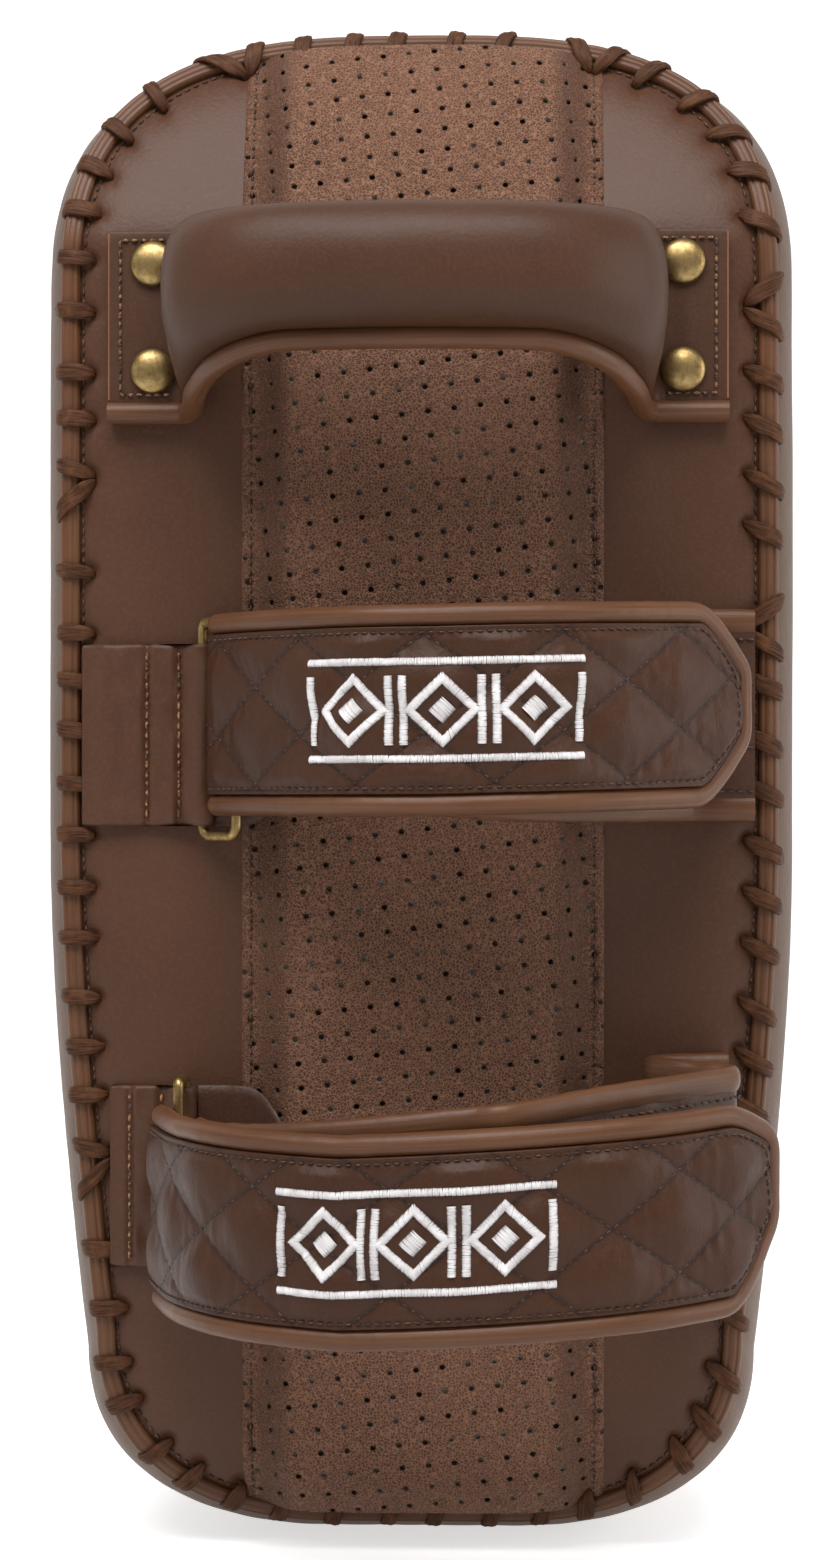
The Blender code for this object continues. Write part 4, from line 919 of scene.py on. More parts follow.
def make_wall():
    """The gusset: outlines drawn in by a smooth profile of depth, with puckers at the lace holes."""
    profile = curve_through([(0.0036, 0.0070, 0.0024), (0.0050, 0.0052, 0.0017), (0.0072, 0.0034, 0.0011),
                             (0.0105, 0.0017, 0.0007), (0.0160, 0.0003, 0.0003), (0.0260, 0.0, 0.0),
                             (0.0500, 0.0, 0.0), (0.0740, 0.0, 0.0), (0.0810, 0.0008, 0.0008),
                             (0.0860, 0.0024, 0.0024), (0.0880, 0.0040, 0.0040)], 5)
    sheets, count = [], 900
    for depth, side, upper in profile:
        ring = outline(side, side, upper, count)
        sheets.append(np.stack([ring[:, 0], depth_y(ring[:, 1], depth), ring[:, 1]], -1))
    outer = np.stack(sheets, 1)
    along = tangents(outer[:, 20], True)
    normal = np.stack([along[:, 2], np.zeros(len(along)), -along[:, 0]], -1)
    run = np.arange(count)[:, None] / count * SEAM_LENGTH * np.ones((1, outer.shape[1]))
    depth = profile[:, 0][None]
    pucker = 0.0007 * bell(to_hole(run, LACE_OUT), 0.0034) * bell(depth - 0.0070, 0.0050)
    soft = 0.0005 * ripple(outer * (1.0, 0.6, 1.0), 0.060, 8)
    soft = soft * smooth(depth, 0.008, 0.030) * smooth(-depth, -0.085, -0.06)
    outer = outer + normal[:, None] * (np.minimum(soft, 0.0) - pucker)[..., None]
    inner = outer[:, ::-4] - normal[:, None] * 0.0018
    piece = grid("gusset_leather", np.concatenate([outer, inner], 1), MATERIALS["wall"], closed=(True, True))
    place(piece, "pad", "dark_leather", "side_wall")


def make_strike_side():
    """The struck side's cover, slightly crowned and rolled into its seam, and the piping round it."""
    inset = 0.0034
    edge = outline(inset, inset, inset)
    right = edge[edge[:, 0] >= 0.0]
    share = 0.5 - 0.5 * np.cos(np.linspace(0.0, np.pi, 260))
    z = inset + share * (PAD_HEIGHT - 2.0 * inset)
    order = np.argsort(right[:, 1], kind="stable")
    half = np.interp(z, right[order, 1], right[order, 0])
    half[0] = LOWER_FLAT * 0.9
    half[-1] = 0.0005
    t = np.sin(np.linspace(-0.5, 0.5, 120) * np.pi)
    x = half[:, None] * t[None]
    zz = np.broadcast_to(z[:, None], x.shape)
    points = np.stack([x, zz], -1).reshape(-1, 2)
    distance = np.empty(len(points))
    for part in np.array_split(np.arange(len(points)), 16):
        distance[part] = np.sqrt(((points[part, None] - edge[None]) ** 2).sum(-1).min(1))
    distance = distance.reshape(x.shape)
    roll = 0.0036 * np.exp(-(distance / 0.0070) ** 1.3)
    crown = 0.0022 * smooth(distance, 0.0, 0.06)
    soft = 0.00030 * ripple(np.stack([x, zz], -1), 0.055, 21)
    y = depth_y(zz, PAD_DEPTH) - roll + crown + soft * smooth(distance, 0.0, 0.02)
    cover = grid("strike_cover_leather", np.stack([x, y, zz], -1), MATERIALS["panel"], toward=(0, 1, 0))
    place(thicken(cover, COVER_THICKNESS), "pad", "dark_leather", "strike_cover")
    line = outline(0.0030, 0.0030, 0.0030, 900)
    path = np.stack([line[:, 0], depth_y(line[:, 1], 0.0885), line[:, 1]], -1)
    across, out = ring_section(18, 0.0023, 0.0023)
    up = np.broadcast_to(np.array([0.0, 1.0, 0.0]), path.shape)
    cord = sweep(path, up, across, out, closed=True)
    piping = grid("strike_piping_leather", cord, MATERIALS["piping"], closed=(True, True))
    place(piping, "pad", "light_leather", "strike_piping")
    rim = outline(0.0088, 0.0088, 0.0088, 900)
    rows = np.stack([rim[:, 0], depth_y(rim[:, 1], PAD_DEPTH) - 0.0018, rim[:, 1]], -1)
    rows = np.concatenate([rows, rows[:1]])
    sewn = stitches("strike_seam_stitches", [stitch_paths(rows, up[:1] + 0 * rows, 0.0030)], 0.00030,
                    MATERIALS["thread"])
    place(sewn, "pad", "waxed_lace")


def make_edge_binding():
    """The tan binding over the seam: a flattened round with two shallow grooves, pinched by the lace."""
    point, outward, forward = seam_frame(SEAM_RUN)
    across, out = ring_section(44, 1.0, 1.0, 2.4)
    groove = 0.24 * (bell(np.abs(across) - 0.42, 0.10)) * (out > 0.0)
    pinch = 0.10 * bell(to_hole(SEAM_RUN, (LACE_IN + LACE_OUT) / 2), 0.0022)
    wide = BINDING_HALF_WIDTH * (1.0 - 0.4 * pinch)[:, None] * across[None]
    tall = BINDING_HALF_DEPTH * (1.0 - pinch)[:, None] * (out - groove)[None]
    shape = point[:, None] + outward[:, None] * wide[..., None] + forward[:, None] * tall[..., None]
    piece = grid("edge_binding_leather", shape, MATERIALS["piping"], closed=(True, True))
    place(piece, "pad", "light_leather", "edge_binding")


LACE_LOOP = np.array([  # outward and forward of the seam line, how far from inner to outer hole, width
    (-0.0059, 0.0000, 0.00, 0.38), (-0.0054, 0.0013, 0.05, 0.55), (-0.0040, 0.0023, 0.20, 0.90),
    (-0.0018, 0.0028, 0.42, 1.00), (0.0006, 0.0027, 0.62, 1.00), (0.0024, 0.0014, 0.80, 0.98),
    (0.0032, -0.0008, 0.92, 0.88), (0.0034, -0.0030, 0.98, 0.66), (0.0026, -0.0050, 1.00, 0.40)])
LACE_RETURN = np.array([
    (0.0004, -0.0058, 0.30, 0.36), (-0.0028, -0.0046, 0.60, 0.36), (-0.0054, -0.0022, 0.85, 0.36)])


def make_lace():
    """The waxed lace whipped over the binding: a flat four-strand section on one closed spiral.

    Each turn rises from its hole in the panel, crosses the binding and dives into the wall, then
    passes inside the seam to the next hole.
    """
    rng = np.random.default_rng(4)
    following = np.append(LACE_IN[1:], LACE_IN[0] + SEAM_LENGTH)
    over = LACE_IN[:, None] + (LACE_OUT - LACE_IN)[:, None] * LACE_LOOP[None, :, 2]
    under = LACE_OUT[:, None] + (following - LACE_OUT)[:, None] * LACE_RETURN[None, :, 2]
    turns = np.concatenate([over, under], 1)
    shape = np.concatenate([LACE_LOOP, LACE_RETURN])
    out = np.broadcast_to(shape[:, 0], turns.shape) + rng.uniform(-0.0002, 0.0002, turns.shape)
    up = np.broadcast_to(shape[:, 1], turns.shape)
    width = shape[:, 3] * rng.uniform(0.88, 1.06, (LACE_TURNS, 1))
    roll = np.broadcast_to(rng.uniform(-0.35, 0.35, (LACE_TURNS, 1)), turns.shape)
    knots = np.stack([turns, out, up, width, roll], -1).reshape(-1, 5)
    knots[:, 0] -= np.arange(len(knots)) / len(knots) * SEAM_LENGTH
    fine = curve_through(knots, 3, closed=True)
    run = fine[:, 0] + np.arange(len(fine)) / len(fine) * SEAM_LENGTH
    point, outward, forward = seam_frame(run % SEAM_LENGTH)
    path = point + outward * fine[:, 1:2] + forward * fine[:, 2:3]
    centre = point + outward * -0.0012 + forward * -0.0012
    normal = unit(path - centre)
    corners = 26
    angle = np.arange(corners) / corners * 2.0 * np.pi
    across = np.sign(np.cos(angle)) * np.abs(np.cos(angle)) ** 0.75
    strand = 0.66 + 0.34 * np.abs(np.cos(2.0 * np.pi * across)) ** 0.6
    height = np.sign(np.sin(angle)) * np.abs(np.sin(angle)) ** 0.6 * strand
    wide = fine[:, 3:4] * LACE_WIDTH / 2 * across[None]
    tall = LACE_THICKNESS / 2 * (1.35 - 0.35 * fine[:, 3:4]) * height[None]
    lean = fine[:, 4:5]
    turned = (wide * np.cos(lean) - tall * np.sin(lean), wide * np.sin(lean) * 0.5 + tall * np.cos(lean))
    cord = sweep(path, normal, *turned, closed=True)
    piece = grid("edge_lace_cord", cord, MATERIALS["lace"], closed=(True, True))
    place(piece, "pad", "waxed_lace", "edge_lace")


def make_panel_stitches():
    """The fine row inside the binding and the rows down both edges of the centre panel."""
    line = outline(SEAM_INSETS[0] + 0.0034, SEAM_INSETS[1] + 0.0034, SEAM_INSETS[2] + 0.0032)
    line = np.concatenate([line, line[:1]])
    normals = arm_normal(line[:, 1])
    rows = [stitch_paths(arm_point(line[:, 0], line[:, 1], 0.0001), normals, 0.0026)]
    z = np.linspace(0.0115, PAD_HEIGHT - 0.0080, 300)
    for side in (-1.0, 1.0):
        x = np.full_like(z, PANEL_SHIFT + side * (PANEL_HALF_WIDTH - 0.0024))
        rows.append(stitch_paths(arm_point(x, z, PANEL_PROUD - 0.00035), arm_normal(z), 0.0023))
    place(stitches("panel_stitches", rows, 0.00032, MATERIALS["thread"]), "pad", "waxed_lace")


# ---------------------------------------------------------------- routes

class Route:
    """A smooth line of (x, standoff) points read by its length, with a unit normal to its left."""

    def __init__(self, points, eased=3):
        line = curve_through(points, 24)
        run = run_of(line)
        self.line = blur(read(line, run, np.linspace(0.0, run[-1], 900)), eased * 8)
        self.run = run_of(self.line)
        self.length = self.run[-1]
        along = tangents(self.line)
        self.normals = np.stack([-along[:, 1], along[:, 0]], -1)

    def at(self, distance, offset=0.0):
        """(x, standoff) at a distance and an offset; past an end the line runs on straight."""
        distance = np.asarray(distance, float)
        held = np.clip(distance, 0.0, self.length)
        normal = self.normal(held)
        along = np.stack([normal[..., 1], -normal[..., 0]], -1)
        here = read(self.line, self.run, held.ravel()).reshape(held.shape + (2,))
        return here + normal * np.asarray(offset)[..., None] + along * (distance - held)[..., None]

    def normal(self, distance):
        """Unit normal in the (x, standoff) plane."""
        distance = np.clip(np.asarray(distance, float), 0.0, self.length)
        return unit(read(self.normals, self.run, distance.ravel()).reshape(distance.shape + (2,)))


def world(flat, z):
    """World points from (x, standoff) points and heights."""
    return np.stack(np.broadcast_arrays(flat[..., 0], -PAD_DEPTH / 2 - flat[..., 1], z), -1)


def level_normal(flat):
    """World directions from directions in the (x, standoff) plane."""
    return np.stack([flat[..., 0], -flat[..., 1], 0.0 * flat[..., 0]], -1)


def front_levels(count):
    """Levels of a strap's outer face from -1 to 1, a little closer together at its edges."""
    even = np.linspace(-1.0, 1.0, count)
    return 0.7 * even + 0.3 * np.sin(even * np.pi / 2)


def strip(route, distances, low, high, offsets, faces, relief=None, power=9.0):
    """Closed rows of a strap: height from low to high, thickness between two offsets, edges rounded.

    The section is a superellipse of a high power.  relief(distance, height) is added to the outer face.
    """
    front = front_levels(faces[0])
    back = np.sin(np.linspace(1.0, -1.0, faces[1] + 2)[1:-1] * np.pi / 2)
    a = np.concatenate([front, back])
    b = (1.0 - np.abs(a) ** power) ** (1.0 / power) * np.concatenate([np.ones(faces[0]), -np.ones(faces[1])])
    d = distances[:, None] + 0.0 * a[None]
    z = (low + high)[:, None] / 2 + (high - low)[:, None] / 2 * a[None]
    middle, half = (offsets[0] + offsets[1]) / 2, (offsets[1] - offsets[0]) / 2
    offset = middle + half * b[None] + 0.0 * z
    if relief:
        fade = smooth(1.0 - np.abs(a), 0.0, 0.10) * (np.arange(len(a)) < faces[0])
        offset = offset + relief(d, z) * fade[None]
    return world(route.at(d, offset), z)


# ---------------------------------------------------------------- handle

HANDLE = Route(HANDLE_HALF + [(-x, standoff) for x, standoff in reversed(HANDLE_HALF[:-1])], 1)


def handle_section(distance):
    """Share of the grip, lower edge, upper edge and half thickness at a distance along the handle."""
    near = np.minimum(distance, HANDLE.length - distance)
    share, edge_share = smooth(near, TAB_LENGTH, GRIP_START), smooth(near, TAB_LENGTH, EDGE_START)
    lower = TAB_Z[0] + (GRIP_Z[0] - TAB_Z[0]) * edge_share
    upper = TAB_Z[1] + (GRIP_Z[1] - TAB_Z[1]) * edge_share
    return share, lower, upper, TAB_HALF_THICKNESS + (GRIP_HALF_THICKNESS - TAB_HALF_THICKNESS) * share


def make_handle():
    """The grip: a superellipse section, square and thin on the tabs and round in the grip.

    Upright creases gather where the leather leaves the tabs, and the tab dips round each rivet.
    """
    half = HANDLE.length / 2
    rise = np.linspace(0.0, 1.0, 150) ** 1.1 * half
    distance = np.concatenate([rise, HANDLE.length - rise[-2::-1]])
    share, lower, upper, thick = handle_section(distance)
    count = 84
    angle = np.arange(count) / count * 2.0 * np.pi
    power = (0.22 + 0.55 * smooth(share, 0.0, 0.6))[:, None]
    across = np.sign(np.cos(angle)) * np.abs(np.cos(angle)) ** power
    rise_up = np.sign(np.sin(angle)) * np.abs(np.sin(angle)) ** power
    near = np.minimum(distance, HANDLE.length - distance)
    z = (lower + upper)[:, None] / 2 + rise_up * (upper - lower)[:, None] / 2
    gather = bell(near - 0.0235, 0.0085)[:, None] * bell(rise_up, 0.95)
    key = np.stack([distance[:, None] / 0.0028 + 0.0 * z, z / 0.030], -1)
    folds = 0.00085 * gather * ripple(key, 2.2, 31)
    soft = 0.00035 * ripple(np.stack([distance[:, None] + 0.0 * z, z], -1), 0.030, 12) * share[:, None]
    crown = 0.0010 * share[:, None] * np.clip(across, 0.0, 1.0) * (1.0 - rise_up ** 2)
    offset = across * thick[:, None] + (folds + soft + crown) * np.sign(across) * np.abs(across) ** 0.5
    flat = HANDLE.at(distance[:, None] + 0.0 * z, offset)
    for side in (-1.0, 1.0):
        for rivet_z in RIVET_Z:
            reach = np.hypot(flat[..., 0] - side * RIVET_X, z - rivet_z)
            flat[..., 1] -= 0.0006 * bell(reach, 0.0066) * (across > 0.0)
    piece = grid("handle_leather", world(flat, z), MATERIALS["grip"], closed=(False, True), caps=True,
                 sharp=50)
    place(piece, "pad", "dark_leather", "handle_cover")
    body = np.linspace(-0.0006, HANDLE.length + 0.0006, 240)
    _, lower, _, _ = handle_section(np.clip(body, 0.0, HANDLE.length))
    line = HANDLE.at(body)
    line[:, 1] = np.maximum(line[:, 1], HANDLE_PIPING_RADIUS + GAP)
    path = world(line, lower - HANDLE_PIPING_RADIUS + 0.0008)
    section = ring_section(20, HANDLE_PIPING_RADIUS, HANDLE_PIPING_RADIUS)
    up = np.broadcast_to(np.array([0.0, 0.0, 1.0]), path.shape)
    piping = grid("handle_piping_leather", sweep(path, up, *section), MATERIALS["piping"],
                  closed=(False, True), caps=True, sharp=50)
    place(piping, "pad", "light_leather", "handle_piping")
    make_handle_stitches()


def make_handle_stitches():
    """Two-tone stitches round three sides of each tab."""
    face = HANDLE_HALF[0][1] + TAB_HALF_THICKNESS + 0.0001
    outer, high, low = TAB_OUTER_X - 0.0028, TAB_Z[1] - 0.0026, TAB_Z[0] + 0.0024
    corners = np.array([(0.0625, high), (outer, high), (outer, low), (0.0635, low)])
    run = run_of(corners)
    spots = read(corners, run, np.linspace(0.0, run[-1], 120))
    normals = np.tile([0.0, -1.0, 0.0], (len(spots), 1))
    rows = []
    for side in (-1.0, 1.0):
        line = np.stack([side * spots[:, 0], np.full(len(spots), -PAD_DEPTH / 2 - face), spots[:, 1]], -1)
        rows.append(stitch_paths(line, normals, 0.0023))
    place(stitches("tab_stitches", rows, 0.00044, MATERIALS["mixed"]), "pad", "waxed_lace")


def make_tab_edges():
    """The raw cut edge of each tab: a thin flat strip up its outer end."""
    z = np.linspace(TAB_Z[0] + 0.0012, TAB_Z[1] - 0.0008, 24)
    y = np.full(len(z), -PAD_DEPTH / 2 - HANDLE_HALF[0][1])
    normals = np.tile([0.0, -1.0, 0.0], (len(z), 1))
    section = ring_section(12, 0.0004, TAB_HALF_THICKNESS - 0.0001, 3.0)
    for label, side in (("left", -1.0), ("right", 1.0)):
        path = np.stack([np.full(len(z), side * (TAB_OUTER_X + 0.0001)), y, z], -1)
        piece = grid(f"tab_edge_{label}", sweep(path, normals, *section), MATERIALS["raw"],
                     closed=(False, True), caps=True, sharp=50)
        place(piece, "pad", "light_leather")


def make_rivets():
    """Domed caps: an arc of the cap's radius over a short turned-in rim."""
    turn = np.arange(48) / 48 * 2.0 * np.pi
    t = np.linspace(0.0, 1.0, 12)
    rise = t[1:] * np.pi / 2
    radius = np.concatenate([[0.0040, RIVET_RADIUS - 0.0004, RIVET_RADIUS], RIVET_RADIUS * np.cos(rise)])
    height = np.concatenate([[0.0, 0.0, 0.0004], 0.0006 + 0.0029 * np.sin(rise) ** 0.9])
    face = HANDLE_HALF[0][1] + TAB_HALF_THICKNESS - 0.0003
    spots = [(side * RIVET_X, z) for side in (-1.0, 1.0) for z in RIVET_Z]
    for number, (x, z) in enumerate(spots, 1):
        points = np.stack([x + radius[:, None] * np.cos(turn),
                           -PAD_DEPTH / 2 - face - height[:, None] + 0.0 * turn,
                           z + radius[:, None] * np.sin(turn)], -1)
        cap = grid(f"rivet_cap_{number}", points, MATERIALS["brass"], closed=(False, True), caps=True)
        place(cap, "pad", "antique_brass", f"handle_rivet_{number}")


# ---------------------------------------------------------------- forearm straps

def ring_bar(strap):
    """(x, standoff) of the ring's outer bar."""
    angle = math.radians(strap["ring_angle"])
    return strap["eye_x"] + RING_WIDTH * math.cos(angle), EYE_RADIUS + GAP + RING_WIDTH * math.sin(angle)


def seam_half_width(z):
    """Half the seam line's width at a height."""
    right = SEAM[SEAM[:, 0] >= 0.0]
    return float(np.interp(z, right[:, 1], right[:, 0]))


def make_anchor(name, strap):
    """The band sewn to the left: its outline in plan with a rounded eye, drawn in at both edges."""
    eye_x, eye_h = strap["eye_x"], EYE_RADIUS + GAP
    start = -(seam_half_width(strap["band_z"] - BAND_HALF_HEIGHT) - 0.0035)
    arc = np.radians(np.linspace(-90.0, 120.0, 16))
    eye = np.stack([eye_x + EYE_RADIUS * np.cos(arc), eye_h + EYE_RADIUS * np.sin(arc)], -1)
    lower = np.stack([np.linspace(start, eye_x - 0.001, 34), np.full(34, -0.0004)], -1)
    x = np.linspace(eye_x - 0.0050, start, 60)
    top = 0.0031 - 0.0022 * smooth(-x, -start - 0.007, -start)
    for back in BAND_SEWN:
        top = top - 0.0010 * bell(x - eye_x + back, 0.0011)
    plan = np.concatenate([lower, eye, np.stack([x, top], -1)])
    along = tangents(plan, True)
    inward = np.stack([-along[:, 1], along[:, 0]], -1)
    level = np.sin(np.linspace(-0.5, 0.5, 44) * np.pi) * BAND_HALF_HEIGHT
    edge = (BAND_HALF_HEIGHT - np.abs(level)) / 0.0012
    tuck = 0.0010 * (1.0 - np.sqrt(np.clip(1.0 - (1.0 - edge).clip(0.0, 1.0) ** 2, 0.0, 1.0)))
    flat = plan[None] + inward[None] * tuck[:, None, None]
    z = strap["band_z"] + level[:, None] + 0.0 * plan[None, :, 0]
    lift = 0.00036 * ripple(np.stack([flat[..., 0] / 0.5, z], -1), 0.014, 40) * (plan[None, :, 1] > 0.0025)
    wall = world(flat + np.stack([0.0 * lift, lift], -1), z)
    band = grid(f"{name}_anchor_leather", wall, MATERIALS["panel"], closed=(False, True), caps=True, sharp=50)
    place(band, "pad", "dark_leather", f"{name}_anchor_band")
    rows, end = [], BAND_HALF_HEIGHT - 0.002
    z = np.linspace(strap["band_z"] - end, strap["band_z"] + end, 60)
    for back in BAND_SEWN:
        line = world(np.stack([np.full(len(z), eye_x - back), np.full(len(z), 0.0026)], -1), z)
        rows.append(stitch_paths(line, np.tile([0.0, -1.0, 0.0], (len(z), 1)), 0.0025))
    place(stitches(f"{name}_anchor_stitches", rows, 0.00040, MATERIALS["gold"]), "pad", "waxed_lace")
    make_guard(name, strap)


def make_guard(name, strap):
    """The tongue under the ring: a thin tab that follows the padded middle up, with a rounded end."""
    start = strap["eye_x"] + EYE_RADIUS + GAP
    x = np.linspace(start, GUARD_END_X, 60)
    rise = raised(x) + 0.0004 + PANEL_PROUD * smooth(x, -0.049, -0.046)
    line = np.stack([x, blur(rise, 12)], -1)
    route = Route(line[::4], 1)
    d = np.linspace(0.0, route.length, 90)
    near = np.clip((d - route.length + GUARD_CORNER) / GUARD_CORNER, 0.0, 1.0)
    cut = GUARD_CORNER * (1.0 - np.sqrt(np.clip(1.0 - near ** 2, 0.0, 1.0)))
    low = strap["band_z"] - BAND_HALF_HEIGHT + cut
    high = strap["band_z"] + BAND_HALF_HEIGHT - cut
    points = strip(route, d, low, high, (0.0002, 0.0018), (30, 10), power=7.0)
    guard = grid(f"{name}_guard_leather", points, MATERIALS["strap"], closed=(False, True), caps=True,
                 sharp=50)
    place(guard, "pad", "dark_leather", f"{name}_ring_guard")


def make_ring(name, strap):
    """The rectangular wire ring: four quarter turns joined by straight runs, a little lower on top."""
    angle = math.radians(strap["ring_angle"])
    quarter = np.radians(np.linspace(0.0, 90.0, 12))
    parts = []
    for far, high, start in ((1, 1, 0.0), (0, 1, 90.0), (0, 0, 180.0), (1, 0, 270.0)):
        across = RING_WIDTH - RING_CORNER if far else RING_CORNER
        up = (RING_HALF_HEIGHT - RING_CORNER) * (1.0 if high else -1.0)
        turn = quarter + math.radians(start)
        parts.append(np.stack([across + RING_CORNER * np.cos(turn), up + RING_CORNER * np.sin(turn)], -1))
    corners = np.concatenate(parts)
    closed = np.concatenate([corners, corners[:1]])
    run = run_of(closed)
    loop = read(closed, run, np.arange(220) / 220 * run[-1])
    loop[:, 1] = np.minimum(loop[:, 1], RING_HALF_HEIGHT - 0.0012 * smooth(loop[:, 1], 0.0, 0.02))
    plan = np.stack([strap["eye_x"] + loop[:, 0] * math.cos(angle),
                     EYE_RADIUS + GAP + loop[:, 0] * math.sin(angle)], -1)
    path = world(plan, strap["ring_z"] + loop[:, 1])
    normal = np.broadcast_to(np.array([math.sin(angle), math.cos(angle), 0.0]), path.shape)
    section = ring_section(16, RING_WIRE_RADIUS, RING_WIRE_RADIUS)
    wire = sweep(path, normal, *section, closed=True)
    ring = grid(f"{name}_ring_wire", wire, MATERIALS["brass"], closed=(True, True))
    place(ring, f"{name}_ring_body", "antique_brass", f"{name}_ring")


class Flap:
    """One quilted flap: its route round the ring's bar and over the forearm, its edges and its quilting."""

    def __init__(self, strap):
        self.strap = strap
        bar = ring_bar(strap)
        turn = np.radians(strap["rise_angle"] - 90.0 - 30.0 * np.arange(7))
        wrap = [(bar[0] + FLAP_WRAP_RADIUS * math.cos(angle), bar[1] + FLAP_WRAP_RADIUS * math.sin(angle))
                for angle in turn]
        self.route = Route(wrap + strap["arch"])
        self.wrap = math.pi * FLAP_WRAP_RADIUS
        node_x, self.node_height = strap["quilt_node"]
        arch = self.route.run > self.wrap + 0.01
        self.node = float(np.interp(node_x, self.route.line[arch, 0], self.route.run[arch]))
        self.cloth = None
        self.simulate()

    def middle(self, distance):
        """Height of the flap's middle line."""
        shares, heights = zip(*self.strap["flap_z"])
        return np.interp(distance, np.array(shares) * self.route.length, heights)

    def limits(self, distance):
        """Lower and upper edge, with the two corners cut off towards the tip."""
        near = np.clip((distance - self.route.length + TIP_LENGTH) / TIP_LENGTH, 0.0, 1.0) ** TIP_POWER
        upper_cut, lower_cut = self.strap["chamfers"]
        middle = self.middle(distance)
        return middle - FLAP_HALF_HEIGHT + lower_cut * near, middle + FLAP_HALF_HEIGHT - upper_cut * near

    def lattice(self, distance, z):
        """The two quilting coordinates: a line of stitches runs wherever one of them is whole."""
        wide, tall = self.strap["quilt"]
        along = (distance - self.node) / wide
        up = (z - self.middle(distance) - self.node_height) / tall
        return along + up, along - up

    def pillow(self, distance, z):
        """The root of the product of two sines: 1 in the middle of a diamond and 0 at its seams."""
        first, last = self.lattice(distance, z)
        return np.sqrt(np.abs(np.sin(np.pi * first) * np.sin(np.pi * last)))

    def seam(self, distance, z):
        """1 on a quilting line and 0 away from it."""
        first, last = self.lattice(distance, z)
        near = np.minimum(np.abs(first - np.round(first)), np.abs(last - np.round(last)))
        return bell(near, 0.028)

    def simulate(self):
        """Blow up a flat sheet of cloth that is held along its quilting lines and edges.

        Its cells are drawn a little larger than they are cut, so that slack gathers into creases, and
        its heights are kept as a grid of distance and height above the flap's middle.
        """
        step = 0.0009
        distance = np.arange(0.0, self.route.length, step)
        across = np.arange(-FLAP_HALF_HEIGHT, FLAP_HALF_HEIGHT + step / 2, step)
        d, v = np.meshgrid(distance, across, indexing="ij")
        z = self.middle(d) + v
        low, high = self.limits(d)
        index = np.arange(d.size).reshape(d.shape)
        quads = np.stack([index[:-1, :-1], index[1:, :-1], index[1:, 1:], index[:-1, 1:]], -1).reshape(-1, 4)
        points = np.stack([d, v, 0.0004 * self.pillow(d, z)], -1).reshape(-1, 3)
        mesh = bpy.data.meshes.new("quilt_cloth")
        mesh.from_pydata(points.tolist(), [], quads.tolist())
        sheet = bpy.data.objects.new("quilt_cloth", mesh)
        bpy.context.scene.collection.objects.link(sheet)
        held = (self.seam(d, z) > 0.29) | (z < low + 0.0012) | (z > high - 0.0012)
        held[[0, -1]] = True
        sheet.vertex_groups.new(name="held").add(np.flatnonzero(held).tolist(), 1.0, "REPLACE")
        cloth = sheet.modifiers.new("cloth", "CLOTH")
        settings = {"vertex_group_mass": "held", "quality": 6, "mass": 0.05, "tension_stiffness": 25.0,
                    "compression_stiffness": 25.0, "shear_stiffness": 10.0, "bending_stiffness": 0.5,
                    "air_damping": 2.0, "shrink_min": -0.035, "use_pressure": True,
                    "uniform_pressure_force": 150.0}
        for key, value in settings.items():
            setattr(cloth.settings, key, value)
        cloth.settings.effector_weights.gravity = 0.0
        cloth.point_cache.frame_start, cloth.point_cache.frame_end = 1, 20
        for frame_number in range(1, 21):
            bpy.context.scene.frame_set(frame_number)
        puffed = sheet.evaluated_get(bpy.context.evaluated_depsgraph_get()).to_mesh()
        heights = np.empty(d.size * 3, np.float32)
        puffed.vertices.foreach_get("co", heights)
        heights = blur(blur(heights.reshape(-1, 3)[:, 2].reshape(d.shape), 2).T, 2).T
        bpy.data.objects.remove(sheet)
        bpy.context.scene.frame_set(1)
        self.cloth = heights.clip(-0.0004, 0.0022), step

    def swell(self, distance, z):
        drawn = 0.0025 * self.pillow(distance, z) ** 0.8
        if self.cloth is None:
            return drawn
        heights, step = self.cloth
        row = np.clip(distance / step, 0.0, heights.shape[0] - 1.001)
        above = z - self.middle(distance) + FLAP_HALF_HEIGHT
        column = np.clip(above / step, 0.0, heights.shape[1] - 1.001)
        i, j = row.astype(int), column.astype(int)
        a, b = row - i, column - j
        first = heights[i, j] * (1.0 - a) + heights[i + 1, j] * a
        last = heights[i, j + 1] * (1.0 - a) + heights[i + 1, j + 1] * a
        return 0.45 * drawn + 0.85 * (first * (1.0 - b) + last * b)

    def relief(self, distance, z):
        """The outer face over the flap's plain thickness, drawn tight at its seams and its border."""
        pillow = self.pillow(distance, z)
        key = np.stack([distance / 0.0016, z / 0.010], -1)
        folds = 0.00022 * ripple(key, 2.4, 17) * (1.0 - pillow) * smooth(pillow, 0.05, 0.35)
        low, high = self.limits(distance)
        border = smooth(np.minimum(z - low, high - z), 0.0, 0.0045)
        soft = 0.00025 * ripple(np.stack([distance, z], -1), 0.018, 23)
        clear = smooth(distance, 0.75 * self.wrap, 1.3 * self.wrap)
        face = (self.swell(distance, z) - 0.0010 + folds + soft * pillow) * border - 0.0006 * (1.0 - border)
        return face * clear - 0.0003 * (1.0 - clear)

    def face(self, distance, z, lift=0.0):
        """Points on the outer face, lifted off it."""
        offset = FLAP_THICKNESS / 2 + self.relief(distance, z) + lift
        return world(self.route.at(distance, offset), z)

    def normals(self, distance):
        """World normals of the outer face, without its quilting."""
        return level_normal(self.route.normal(distance))


